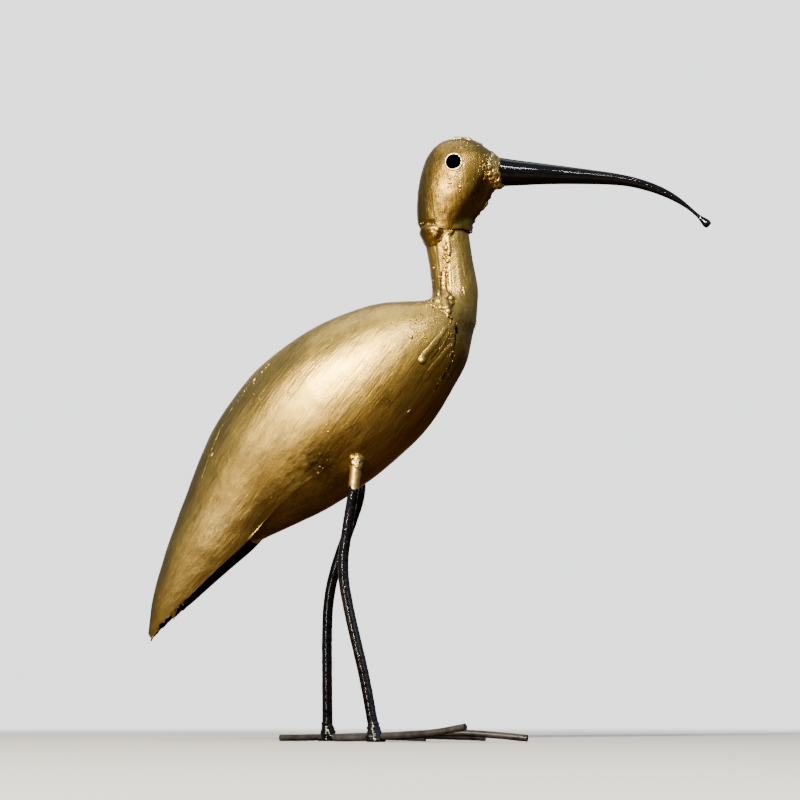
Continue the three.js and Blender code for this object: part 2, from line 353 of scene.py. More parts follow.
def bar_line(node: str, direction: Vector, first: float, last: float, count: int) -> list[list[float]]:
    """Measure a bar node's axis and radius on planes square to a direction.

    Args:
        node: The CAD node's name.
        direction: The way the planes face.
        first: Where the first plane is.
        last: Where the last one is.
        count: Their number.

    Returns:
        Rows of x, y, z and mean radius.
    """
    rows = []
    for index in range(count):
        place = first + (last - first) * index / (count - 1)
        bm = bmesh.new()
        bm.from_mesh(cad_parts[node].data)
        bmesh.ops.remove_doubles(bm, verts=bm.verts, dist=MERGE_GAP)
        whole = bm.verts[:] + bm.edges[:] + bm.faces[:]
        cut = bmesh.ops.bisect_plane(bm, geom=whole, plane_co=direction * place, plane_no=direction)
        edges = [part for part in cut["geom_cut"] if isinstance(part, bmesh.types.BMEdge)]
        length = sum(edge.calc_length() for edge in edges)
        middles = ((e.verts[0].co + e.verts[1].co) * 0.5 * e.calc_length() for e in edges)
        centre = sum(middles, Vector()) / length
        rows.append([*centre, length / (2.0 * math.pi)])
        bm.free()
    return rows


@dataclass
class Blob:
    """One drop of weld metal or paint: a ball squashed onto a surface."""

    point: Vector
    normal: Vector
    along: Vector
    length: float
    width: float
    height: float

    @classmethod
    def sized(cls, point: Vector, normal: Vector, along: Vector, size: float, long: float = 1.0,
              thick: float = 1.0) -> "Blob":
        """Return a drop of a half width, its length and thickness given as shares of it."""
        return cls(point, normal, along, size * long, size, size * thick)

    def matrix(self) -> Matrix:
        """Place the drop.

        Returns:
            The transform of a unit ball to this drop.
        """
        up = self.normal.normalized()
        ahead = self.along - up * self.along.dot(up)
        ahead = ahead.normalized() if ahead.length > 1e-9 else up.orthogonal().normalized()
        turn = Matrix((ahead, up.cross(ahead), up)).transposed().to_4x4()
        size = Matrix.Diagonal((self.length, self.width, self.height, 1.0))
        return Matrix.Translation(self.point) @ turn @ size


def fused(blobs: Sequence[Blob], voxel: float, smoothing: int, relief: Relief | None) -> BMesh:
    """Melt drops together into one skin.

    Args:
        blobs: The drops, which overlap.
        voxel: The size of the faces.
        smoothing: Rounds of smoothing after the drops are joined.
        relief: What is added along the normal, or None.

    Returns:
        The closed mesh.
    """
    bm = bmesh.new()
    for blob in blobs:
        bmesh.ops.create_icosphere(bm, subdivisions=2, radius=1.0, matrix=blob.matrix())
    bm = with_modifier(bm, "REMESH", mode="VOXEL", voxel_size=voxel, adaptivity=0.0)
    for _ in range(smoothing):
        bmesh.ops.smooth_vert(
            bm, verts=bm.verts, factor=0.5, use_axis_x=True, use_axis_y=True, use_axis_z=True
        )
    bmesh.ops.recalc_face_normals(bm, faces=bm.faces)
    if relief:
        push_out(bm, relief)
    return bm


def lumps(height: float, width: float, seed: float, octaves: int) -> Relief:
    """Return a relief of soft random lumps of a height and width, with finer ones added in octaves."""
    shift = Vector((seed, 2.0 * seed, -seed))
    return lambda point, normal: height * noise.fractal(point / width + shift, 0.9, 2.1, octaves)


def strokes(height: float, wide: float, long: float, turn: float, seed: float) -> Relief:
    """Make a relief of long low ridges.

    Args:
        height: Their height.
        wide: Their width.
        long: Their length.
        turn: Angle of their direction in the XZ plane, from +X up to +Z.
        seed: Picks another pattern.

    Returns:
        The relief.
    """
    ahead = Vector((math.cos(turn), 0.0, math.sin(turn)))
    over = Vector((-math.sin(turn), 0.0, math.cos(turn)))

    def relief(point: Vector, _normal: Vector) -> float:
        """Return the height at a point."""
        place = Vector((point.dot(ahead) / long, point.dot(over) / wide, point.y / wide + seed))
        return height * noise.fractal(place, 0.8, 2.2, 2)

    return relief


def summed(*reliefs: Relief) -> Relief:
    """Return several reliefs added together."""
    return lambda point, normal: sum(relief(point, normal) for relief in reliefs)


# Shader tools


class Graph:
    """A short way to add nodes and links to one node tree."""

    def __init__(self, tree: NodeTree) -> None:
        """Start from a tree, which is emptied."""
        self.tree = tree
        tree.nodes.clear()

    def add(self, kind: str, inputs: Inputs | None = None, **settings: object) -> bpy.types.Node:
        """Add a node.

        Args:
            kind: The node's type.
            inputs: Values, colours or output sockets for its inputs, by name or number.
            **settings: The node's own settings.

        Returns:
            The node.
        """
        node = self.tree.nodes.new(kind)
        for key, value in settings.items():
            setattr(node, key, value)
        for key, value in (inputs or {}).items():
            socket = node.inputs[key]
            if isinstance(value, Socket):
                self.tree.links.new(value, socket)
            elif socket.type == "RGBA":
                socket.default_value = (*value, 1.0)
            else:
                socket.default_value = value
        return node

    def group(self, tree: NodeTree, vector: Socket, **values: float) -> dict[str, Socket]:
        """Return the outputs of a shared group that reads a vector and is set to some values."""
        node = self.add("ShaderNodeGroup", {"Vector": vector, **values}, node_tree=tree)
        return dict(node.outputs.items())

    def math(self, operation: str, first: object, second: object) -> Socket:
        """Return the result of a Math node."""
        return self.add("ShaderNodeMath", {0: first, 1: second}, operation=operation).outputs[0]

    def weighted(self, *terms: tuple[Socket, float]) -> Socket:
        """Add values up.

        Args:
            *terms: Each value with its weight.

        Returns:
            The sum.
        """
        parts = [self.math("MULTIPLY", value, weight) for value, weight in terms]
        total = parts[0]
        for part in parts[1:]:
            total = self.math("ADD", total, part)
        return total

    def remap(self, value: object, low: float, high: float, to_low: float = 0.0, to_high: float = 1.0,
              smooth: bool = False) -> Socket:
        """Return a value brought from one range to another and held inside, eased if smooth."""
        kind = "SMOOTHSTEP" if smooth else "LINEAR"
        return self.add("ShaderNodeMapRange", {0: value, 1: low, 2: high, 3: to_low, 4: to_high},
                        interpolation_type=kind).outputs[0]

    def mix(self, share: object, first: object, second: object) -> Socket:
        """Return two colours mixed by a share."""
        return self.add("ShaderNodeMix", {0: share, 6: first, 7: second}, data_type="RGBA").outputs[2]

    def blend(self, share: object, first: object, second: object) -> Socket:
        """Return two numbers mixed by a share."""
        return self.add("ShaderNodeMix", {0: share, 2: first, 3: second}, data_type="FLOAT").outputs[0]

    def noise(self, vector: object, scale: object, detail: float, rough: float = 0.5) -> Socket:
        """Return a noise value."""
        inputs = {"Vector": vector, "Scale": scale, "Detail": detail, "Roughness": rough}
        return self.add("ShaderNodeTexNoise", inputs).outputs["Fac"]

    def vector(self, operation: str, first: object, second: object) -> Socket:
        """Return the result of a Vector Math node."""
        return self.add("ShaderNodeVectorMath", {0: first, 1: second}, operation=operation).outputs[0]

    def place(self) -> Socket:
        """Return the place on the piece, in metres."""
        return self.add("ShaderNodeTexCoord").outputs["Object"]

    def bump(self, height: Socket, depth_mm: float) -> Socket:
        """Return the normal bent by a height, whose full step is a depth."""
        inputs = {"Height": height, "Strength": 1.0, "Distance": depth_mm * MM}
        return self.add("ShaderNodeBump", inputs).outputs[0]

    def finish(self, inputs: Inputs) -> None:
        """Add the surface's shader with these inputs and the material's output."""
        shader = self.add("ShaderNodeBsdfPrincipled", inputs)
        self.add("ShaderNodeOutputMaterial", {"Surface": shader.outputs[0]})


def new_group(name: str, inputs: dict[str, float], outputs: Sequence[str]) -> Graph:
    """Make a shader group that reads a vector.

    Args:
        name: The group's name.
        inputs: Names of the number inputs, with their values.
        outputs: Names of the number outputs.

    Returns:
        The group's empty graph.
    """
    tree = bpy.data.node_groups.new(name, "ShaderNodeTree")
    tree.interface.new_socket("Vector", in_out="INPUT", socket_type="NodeSocketVector")
    for key, value in inputs.items():
        socket = tree.interface.new_socket(key, in_out="INPUT", socket_type="NodeSocketFloat")
        socket.default_value = value
    for key in outputs:
        tree.interface.new_socket(key, in_out="OUTPUT", socket_type="NodeSocketFloat")
    return Graph(tree)


def brush_group() -> NodeTree:
    """Make the group for brush marks: long fine streaks along X of the given coordinates.

    Returns:
        The group's tree.
    """
    graph = new_group("brush_marks", {"Fineness": 420, "Length": 14.0}, ("Streak", "Sweep"))
    contrast = (0.4, 0.6)
    broader = (0.6, 0.14, 0.14)
    given = graph.add("NodeGroupInput").outputs
    sizes = {0: given["Length"], 1: given["Fineness"], 2: given["Fineness"]}
    stretch = graph.add("ShaderNodeCombineXYZ", sizes).outputs[0]
    fine = graph.vector("MULTIPLY", given["Vector"], stretch)
    broad = graph.vector("MULTIPLY", fine, broader)
    streak = graph.remap(graph.noise(fine, 1.0, 4.0, 0.7), *contrast)
    sweep = graph.remap(graph.noise(broad, 1.0, 5.0, 0.7), *contrast)
    graph.add("NodeGroupOutput", {"Streak": streak, "Sweep": sweep})
    return graph.tree


def mottle_group() -> NodeTree:
    """Make the group for cloudy patches with soft or hard edges.

    Returns:
        The group's tree.
    """
    graph = new_group("mottle", {"Scale": 30, "Low": 0.35, "High": 0.65}, ("Patch",))
    given = graph.add("NodeGroupInput").outputs
    cloud = graph.noise(given["Vector"], given["Scale"], 5.0)
    graph.add("NodeGroupOutput", {"Patch": graph.remap(cloud, given["Low"], given["High"], smooth=True)})
    return graph.tree


def grain_group() -> NodeTree:
    """Make the group for the small bumps of thick paint over rough metal.

    Returns:
        The group's tree.
    """
    graph = new_group("paint_grain", {"Scale": 300.0}, ("Bumps", "Pits"))
    bump_reach = 0.7
    pit_fineness = 2.7
    pit_edge = (0.28, 0.42)
    given = graph.add("NodeGroupInput").outputs
    inputs = {"Vector": given["Vector"], "Scale": given["Scale"]}
    cells = graph.add("ShaderNodeTexVoronoi", inputs, feature="SMOOTH_F1").outputs["Distance"]
    bumps = graph.remap(cells, 0.0, bump_reach, 1.0, 0.0, smooth=True)
    finer = graph.math("MULTIPLY", given["Scale"], pit_fineness)
    pits = graph.remap(graph.noise(given["Vector"], finer, 2.0), *pit_edge, smooth=True)
    graph.add("NodeGroupOutput", {"Bumps": bumps, "Pits": pits})
    return graph.tree


class Groups:
    """The shader groups that several finishes share."""

    def __init__(self) -> None:
        """Build each group once."""
        self.brush = brush_group()
        self.mottle = mottle_group()
        self.grain = grain_group()


def new_material(name: str) -> tuple[Material, Graph]:
    """Make an empty node material.

    Args:
        name: The material's name.

    Returns:
        The material and its graph.
    """
    material = bpy.data.materials.new(name)
    material.use_nodes = True
    return material, Graph(material.node_tree)


@dataclass(frozen=True)
class GoldPaint:
    """Brushed metallic gold paint: pale strokes over a deeper gold, dull where it is thin."""

    name: str
    brush_turn: float
    deep: Colour = (0.39, 0.25, 0.062)
    middle: Colour = (0.64, 0.445, 0.098)
    pale: Colour = (0.9, 0.61, 0.135)
    dull: Colour = (0.32, 0.24, 0.085)
    darkest: Colour = (0.055, 0.03, 0.014)
    relief_mm: float = 0.13
    gloss: float = 0.15
    gloss_rough: float = 0.22
    dull_behind: float | None = None
    dull_reach: float = 0.16
    cloud_scale: float = 26.0
    thin_scale: float = 34.0
    thin_edge: Span = (0.52, 0.66)
    grain_scale: float = 520.0
    streak_share: float = 0.55
    cloud_share: float = 0.2
    tail_share: float = 0.55
    seam_share: float = 0.3
    dark_patch_share: float = 0.85
    roughness: Span = (0.33, 0.4)
    worn_rough: float = 0.08
    streak_height: float = 0.55
    sweep_height: float = 0.9
    bump_height: float = 0.18
    pit_height: float = 0.22

    def build(self, groups: Groups) -> Material:
        """Make the material.

        Args:
            groups: The shared groups.

        Returns:
            The material.
        """
        material, graph = new_material(self.name)
        place = graph.place()
        turn = {"Vector": place, "Rotation": (0.0, self.brush_turn, 0.0)}
        turned = graph.add("ShaderNodeMapping", turn).outputs[0]
        brush = graph.group(groups.brush, turned)
        streak, sweep = brush["Streak"], brush["Sweep"]
        cloud = graph.group(groups.mottle, place, Scale=self.cloud_scale)["Patch"]
        low, high = self.thin_edge
        thin = graph.group(groups.mottle, turned, Scale=self.thin_scale, Low=low, High=high)["Patch"]
        grain = graph.group(groups.grain, place, Scale=self.grain_scale)
        worn = graph.math("MULTIPLY", thin, graph.remap(streak, 0.2, 0.8, 0.6, 0.15))
        rough = graph.remap(graph.math("ADD", sweep, cloud), 0.2, 1.8, *self.roughness)
        height = graph.weighted(
            (streak, self.streak_height), (sweep, self.sweep_height),
            (grain["Bumps"], self.bump_height), (grain["Pits"], self.pit_height),
        )
        graph.finish({
            "Base Color": self.tone(graph, streak, sweep, cloud, worn),
            "Roughness": graph.math("ADD", rough, graph.math("MULTIPLY", worn, self.worn_rough)),
            "Metallic": 1.0, "Normal": graph.bump(height, self.relief_mm), "Coat Weight": self.gloss,
            "Coat Roughness": self.gloss_rough,
        })
        return material

    def tone(self, graph: Graph, streak: Socket, sweep: Socket, cloud: Socket, worn: Socket) -> Socket:
        """Mix the paint's colour, with the dull tail, the seams and the dark patches.

        Args:
            graph: The material's graph.
            streak: Fine brush marks.
            sweep: Broad ones.
            cloud: Cloudy patches.
            worn: Where the paint is thin.

        Returns:
            The colour.
        """
        seam = graph.add("ShaderNodeAttribute", attribute_name="seam").outputs["Fac"]
        dark_patch = graph.add("ShaderNodeAttribute", attribute_name="dark_patch").outputs["Fac"]
        tone = graph.mix(sweep, self.deep, self.middle)
        tone = graph.mix(graph.math("MULTIPLY", streak, self.streak_share), tone, self.pale)
        tone = graph.mix(graph.math("MULTIPLY", cloud, self.cloud_share), tone, self.middle)
        tone = graph.mix(worn, tone, self.dull)
        if self.dull_behind is not None:
            ahead = graph.add("ShaderNodeSeparateXYZ", {0: graph.place()}).outputs["X"]
            start = self.dull_behind - self.dull_reach
            tail = graph.remap(ahead, start, self.dull_behind, self.tail_share, 0.0, smooth=True)
            tone = graph.mix(tail, tone, self.dull)
        tone = graph.mix(graph.math("MULTIPLY", seam, self.seam_share), tone, self.deep)
        return graph.mix(graph.math("MULTIPLY", dark_patch, self.dark_patch_share), tone, self.darkest)


@dataclass(frozen=True)
class BlackPaint:
    """Thick glossy black paint over rough bar, with gold paint on it above a height where one is given."""

    name: str
    bump_mm: float
    grain_scale: float
    speckle: float = 0.0
    gold_above: float | None = None
    shine: float = 0.5
    black: Colour = (0.0016, 0.0016, 0.0022)
    brown: Colour = (0.06, 0.032, 0.02)
    gold: Colour = (0.9, 0.64, 0.21)
    speck_scale: float = 620.0
    speck_edge: Span = (0.58, 0.66)
    cloud_scale: float = 60.0
    roughness: Span = (0.08, 0.22)
    gold_rough: float = 0.42
    ragged_scale: float = 140.0
    ragged_height: float = 22.0 * MM
    gold_edge: Span = (10.4 * MM, 11.6 * MM)

    def build(self, groups: Groups) -> Material:
        """Make the material.

        Args:
            groups: The shared groups.

        Returns:
            The material.
        """
        material, graph = new_material(self.name)
        place = graph.place()
        grain = graph.group(groups.grain, place, Scale=self.grain_scale)
        low, high = self.speck_edge
        specks = graph.group(groups.mottle, place, Scale=self.speck_scale, Low=low, High=high)["Patch"]
        cloud = graph.group(groups.mottle, place, Scale=self.cloud_scale)["Patch"]
        rusty = graph.math("MULTIPLY", specks, graph.remap(cloud, 0.0, 1.0, 0.15, 1.0))
        rusty = graph.math("MULTIPLY", rusty, self.speckle)
        tone = graph.mix(rusty, self.black, self.brown)
        spots = graph.math("ADD", rusty, graph.math("MULTIPLY", cloud, 0.3))
        rough = graph.remap(spots, 0.0, 1.0, *self.roughness)
        metal: object = 0.0
        if self.gold_above is not None:
            height = graph.add("ShaderNodeSeparateXYZ", {0: place}).outputs["Z"]
            ragged = graph.noise(place, self.ragged_scale, 4.0, 0.7)
            edge = graph.math("ADD", height, graph.math("MULTIPLY", ragged, self.ragged_height))
            start, end = self.gold_edge
            metal = graph.remap(edge, self.gold_above + start, self.gold_above + end)
            tone = graph.mix(metal, tone, self.gold)
            rough = graph.blend(metal, rough, self.gold_rough)
        relief = graph.weighted((grain["Bumps"], 1.0), (grain["Pits"], 0.5))
        graph.finish({
            "Base Color": tone, "Roughness": rough, "Metallic": metal,
            "Normal": graph.bump(relief, self.bump_mm), "Specular IOR Level": self.shine,
        })
        return material


@dataclass(frozen=True)
class WornBlack:
    """Thin dull black paint on the toes, rubbed back to grey-brown steel in random patches."""

    name: str = "worn_black"
    paint: Colour = (0.01, 0.009, 0.009)
    steel: Colour = (0.095, 0.084, 0.078)
    wear_scale: float = 85.0
    wear_edge: Span = (0.3, 0.8)
    grain_scale: float = 520.0
    roughness: Span = (0.38, 0.55)
    bare_metal: float = 0.6
    relief_mm: float = 0.12

    def build(self, groups: Groups) -> Material:
        """Make the material.

        Args:
            groups: The shared groups.

        Returns:
            The material.
        """
        material, graph = new_material(self.name)
        place = graph.place()
        low, high = self.wear_edge
        wear = graph.group(groups.mottle, place, Scale=self.wear_scale, Low=low, High=high)["Patch"]
        grain = graph.group(groups.grain, place, Scale=self.grain_scale)
        graph.finish({
            "Base Color": graph.mix(wear, self.paint, self.steel),
            "Roughness": graph.remap(wear, 0.0, 1.0, *self.roughness),
            "Metallic": graph.math("MULTIPLY", wear, self.bare_metal),
            "Normal": graph.bump(graph.math("ADD", grain["Bumps"], grain["Pits"]), self.relief_mm),
        })
        return material


@dataclass(frozen=True)
class InsideRustAndShade:
    """The unpainted inner face of the sheets: rusted steel, with near-black patches that are painted shade
    inside the hollow shells.
    """

    name: str = "inside_rust_and_shade"
    darkest: Colour = (0.012, 0.01, 0.009)
    blotch: Colour = (0.055, 0.026, 0.014)
    blotch_scale: float = 60.0
    roughness: Span = (0.7, 0.9)

    def build(self, groups: Groups) -> Material:
        """Make the material.

        Args:
            groups: The shared groups.

        Returns:
            The material.
        """
        material, graph = new_material(self.name)
        blotch = graph.group(groups.mottle, graph.place(), Scale=self.blotch_scale)["Patch"]
        graph.finish({
            "Base Color": graph.mix(blotch, self.darkest, self.blotch),
            "Roughness": graph.remap(blotch, 0.0, 1.0, *self.roughness),
        })
        return material


@dataclass(frozen=True)
class PaintedShadeDark:
    """Painted shade: near-black, matt and without gloss, standing for what shows in a burnt slot or a pit.
    """

    name: str = "painted_shade_dark"
    black: Colour = (0.001, 0.0008, 0.0006)
    brown: Colour = (0.006, 0.003, 0.0015)
    blotch_scale: float = 300.0
    rough: float = 0.95
    shine: float = 0.05

    def build(self, groups: Groups) -> Material:
        """Make the material.

        Args:
            groups: The shared groups.

        Returns:
            The material.
        """
        material, graph = new_material(self.name)
        blotch = graph.group(groups.mottle, graph.place(), Scale=self.blotch_scale)["Patch"]
        graph.finish({
            "Base Color": graph.mix(blotch, self.black, self.brown), "Roughness": self.rough,
            "Specular IOR Level": self.shine,
        })
        return material


class Paints:
    """Every finish of the figure, built once."""

    body_turn = math.radians(52)
    neck_turn = math.radians(96)

    def __init__(self) -> None:
        """Build the groups and the materials."""
        groups = Groups()
        self.body_gold = GoldPaint("body_gold", self.body_turn, dull_behind=-0.085).build(groups)
        self.neck_gold = GoldPaint("neck_gold", self.neck_turn).build(groups)
        # The head's gold is a darker copy of the same paint: painted shade over the whole head.
        self.head_gold_painted_shade = GoldPaint(
            "head_gold_painted_shade",
            self.neck_turn,
            deep=(0.21, 0.122, 0.024),
            middle=(0.34, 0.212, 0.042),
            pale=(0.5, 0.34, 0.074),
            dull=(0.185, 0.135, 0.04),
            relief_mm=0.12,
        ).build(groups)
        # Near-white gold for the eye rims: a painted highlight on their thick paint.
        self.rim_gold_painted_highlight = GoldPaint(
            "rim_gold_painted_highlight",
            self.neck_turn,
            deep=(0.8, 0.62, 0.3),
            middle=(0.92, 0.78, 0.45),
            pale=(1.0, 0.9, 0.62),
            dull=(0.7, 0.55, 0.3),
            relief_mm=0.08,
            gloss=1.0,
        ).build(groups)
        # The welds' gold is paler and less saturated than the body's: partly the paint on the weld metal,
        # partly a painted highlight for its glints.
        self.weld_gold_and_glint = GoldPaint(
            "weld_gold_and_glint",
            self.body_turn,
            deep=(0.38, 0.24, 0.065),
            middle=(0.68, 0.47, 0.13),
            pale=(0.94, 0.71, 0.26),
            dull=(0.32, 0.25, 0.09),
            relief_mm=0.18,
            gloss=0.8,
        ).build(groups)
        self.beak_black = BlackPaint("beak_black", bump_mm=0.05, grain_scale=160).build(groups)
        # Both legs have the same black paint with rust specks; the right leg's stronger specks and shine are
        # a painted highlight, the left leg's weaker ones painted shade.
        right = BlackPaint(
            "right_leg_black_lit", bump_mm=0.06, grain_scale=420, speckle=0.45, gold_above=0.2405, shine=1.0
        )
        left = BlackPaint("left_leg_black_shaded", bump_mm=0.04, grain_scale=420, speckle=0.2, gold_above=0.262)
        self.leg_black = {Side.RIGHT: right.build(groups), Side.LEFT: left.build(groups)}
        self.worn = WornBlack().build(groups)
        self.inside = InsideRustAndShade().build(groups)
        self.painted_shade_dark = PaintedShadeDark().build(groups)


# Pieces


def finish_piece(name: str, bm: BMesh, materials: Sequence[Material],
                 replaced: Sequence[str] = ()) -> bpy.types.Object:
    """Make a finished piece from a mesh and set it riding on the figure.

    Args:
        name: The piece's name.
        bm: Its mesh, which is freed.
        materials: Its materials, the outer one first.
        replaced: CAD nodes that it stands for.

    Returns:
        The object.
    """
    for face in bm.faces:
        face.smooth = True
    piece = bpy.data.objects.new(name, mesh_from(bm, name))
    for material in materials:
        piece.data.materials.append(material)
    bpy.context.scene.collection.objects.link(piece)
    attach(piece, BODY)
    if replaced:
        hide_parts(*replaced)
    LOG.info("made %s with %d faces", name, len(piece.data.polygons))
    return piece


@dataclass(frozen=True)
class Spot:
    """A place on a skin: its point, the way the line there runs, and the way the skin faces."""

    point: Vector
    along: Vector
    normal: Vector


class Surface:
    """The outer skins of the figure, on which beads, runs and spatter are laid."""

    def __init__(self) -> None:
        """Start with no skin."""
        self.vertices: list[Vector] = []
        self.polygons: list[list[int]] = []
        self.tree: BVHTree | None = None
        self.rim_points: list[Vector] = []
        self.rims: KDTree | None = None
        self.joints: dict[str, list[Spot]] = {}

    def add(self, bm: BMesh, spacing: float = 0.3 * MM) -> None:
        """Add a skin and its open edges.

        Args:
            bm: The skin.
            spacing: How close the points kept on its edges are.
        """
        start = len(self.vertices)
        bm.verts.index_update()
        self.vertices.extend(vert.co.copy() for vert in bm.verts)
        self.polygons.extend([start + vert.index for vert in face.verts] for face in bm.faces)
        self.tree = BVHTree.FromPolygons(self.vertices, self.polygons)
        for edge in bm.edges:
            if edge.is_boundary:
                steps = max(1, math.ceil(edge.calc_length() / spacing))
                first, last = edge.verts[0].co, edge.verts[1].co
                self.rim_points.extend(first.lerp(last, index / steps) for index in range(steps))
        self.rims = KDTree(len(self.rim_points))
        for index, point in enumerate(self.rim_points):
            self.rims.insert(point, index)
        self.rims.balance()

    def under(self, pixel: PixelPoint) -> Place | None:
        """Return the point and normal that a pixel of the reference view sees, or None."""
        point, normal, _, _ = self.tree.ray_cast(VIEW.location, VIEW.direction(pixel))
        return None if point is None else (point, normal)

    def nearest(self, place: Vector) -> Place:
        """Return the skin's point and normal nearest to a place."""
        point, normal, _, _ = self.tree.find_nearest(place)
        return point, normal

    def opposite(self, point: Vector) -> Place:
        """Return the point and normal on the figure's other side."""
        return self.nearest(Vector((point.x, -point.y, point.z)))


@dataclass
class Sheet:
    """One sheet of the figure's skin, hammered to shape and painted."""

    node: str
    levels: int
    relief: Relief
    paint: Material
    inside: Material
    swell: float = 0.25 * MM
    seam_reach: float = 4.0 * MM
    joint_reach: float = 3.2 * MM
    tuck: float = 0.6 * MM
    sink: float = 0.25 * MM
    fitted: bool = False
    edge: Callable[[BMesh], None] | None = None

    def build(self, surface: Surface) -> None:
        """Make the sheet from the CAD node's outer skin, with its wall and a dark inner face that is partly
        painted shade.

        Args:
            surface: Takes the finished outer skin.
        """
        bm = refined(outer_skin(self.node), self.levels)
        push_out(bm, lambda point, normal: self.swell)
        push_out(bm, self.relief)
        if self.fitted:
            surface.joints[self.node] = self.fit(bm, surface)
        if self.edge:
            self.edge(bm)
        self.mark_seams(bm)
        for edge in bm.edges:
            edge.smooth = not edge.is_boundary
        surface.add(bm)
        piece = finish_piece(self.node + "_sheet", bm, [self.paint, self.inside], [self.node])
        wall = piece.modifiers.new("wall", "SOLIDIFY")
        wall.thickness = SHEET
        wall.offset = -1.0
        wall.use_even_offset = False
        wall.material_offset = 1

    def fit(self, bm: BMesh, surface: Surface) -> list[Spot]:
        """Bring the sheet's edge to the edges it meets, tucked a little under them.

        Args:
            bm: The sheet's skin.
            surface: The skins made before.

        Returns:
            The joint's line, spot by spot.
        """
        bm.normal_update()
        fitted = set()
        for vert in bm.verts:
            if not vert.is_boundary:
                continue
            target, _, distance = surface.rims.find(vert.co)
            if distance > self.joint_reach:
                continue
            ahead = (target - vert.co).normalized()
            vert.co = target + ahead * self.tuck - vert.normal * self.sink
            fitted.add(vert)
        joint = []
        for edge in bm.edges:
            if edge.is_boundary and all(vert in fitted for vert in edge.verts):
                first, last = edge.verts
                point = (first.co + last.co) * 0.5
                joint.append(Spot(point, last.co - first.co, (first.normal + last.normal).normalized()))
        return joint

    def mark_seams(self, bm: BMesh) -> None:
        """Write how near each vertex is to the sheet's edge, and how far it lies in a dark patch, from 0 to
        1.

        Args:
            bm: The sheet's skin.
        """
        rim = [vert for vert in bm.verts if vert.is_boundary]
        tree = KDTree(len(rim))
        for index, vert in enumerate(rim):
            tree.insert(vert.co, index)
        tree.balance()
        seam = bm.verts.layers.float.new("seam")
        dark_patch = bm.verts.layers.float.new("dark_patch")
        for vert in bm.verts:
            vert[seam] = math.exp(-tree.find(vert.co)[2] / self.seam_reach)
            vert[dark_patch] = DARK_PATCHES.share(vert.co)


@dataclass(frozen=True)
class DarkPatches:
    """The dark, rough patches by the leg tops: centres with their reach and strength, and their grain."""

    patches: tuple[tuple[Vector, float, float], ...] = (
        (Vector((-0.104, 0.0, 0.263)), 15 * MM, 1.0), (Vector((-0.128, 0.0, 0.252)), 11 * MM, 0.7),
        (Vector((-0.034, 0.0, 0.32)), 5 * MM, 0.5),
    )
    grain: float = 5 * MM
    ragged: float = 0.9
    gain: float = 1.3
    pit_grain: float = 3.4 * MM
    pit_depth: float = 1.1 * MM

    def share(self, point: Vector) -> float:
        """Work out how far the skin lies in a dark patch.

        Args:
            point: A point on the skin.

        Returns:
            A share from 0 to 1.
        """
        total = 0.0
        for centre, reach, strength in self.patches:
            away = Vector((point.x - centre.x, 0.0, point.z - centre.z)).length / reach
            total += strength * math.exp(-away * away)
        ragged = 0.5 + self.ragged * noise.fractal(point / self.grain, 0.8, 2.2, 3)
        return min(max(total * ragged * self.gain, 0.0), 1.0)

    def relief(self, point: Vector, _normal: Vector) -> float:
        """Return the height of the pitted metal in the dark patches at a point."""
        return self.share(point) * self.pit_depth * noise.fractal(point / self.pit_grain, 0.9, 2.0, 2)


DARK_PATCHES = DarkPatches()


@dataclass(frozen=True)
class Burr:
    """A torn tooth of the tail's edge: where its root is seen, half its width, and the way to its tip."""

    pixel: PixelPoint
    half_width: float
    drop: Vector

    def draw(self, bm: BMesh) -> None:
        """Draw the tooth out of the sheet's edge.

        Args:
            bm: The sheet's skin.
        """
        ray = VIEW.direction(self.pixel)

        def reach(vert: bmesh.types.BMVert) -> float:
            """Return how far a vertex is from the pixel's line of sight."""
            away = vert.co - VIEW.location
            return (away - ray * away.dot(ray)).length

        rim = [vert for vert in bm.verts if vert.is_boundary and vert.co.y < 0.0]
        root = min(rim, key=reach).co.copy()
        edges = [
            edge for edge in bm.edges
            if edge.is_boundary and all((vert.co - root).length < self.half_width for vert in edge.verts)
        ]
        if not edges:
            return
        made = bmesh.ops.extrude_edge_only(bm, edges=edges)["geom"]
        for vert in (part for part in made if isinstance(part, bmesh.types.BMVert)):
            share = max(0.0, 1.0 - (vert.co - root).length / self.half_width)
            vert.co += self.drop * share


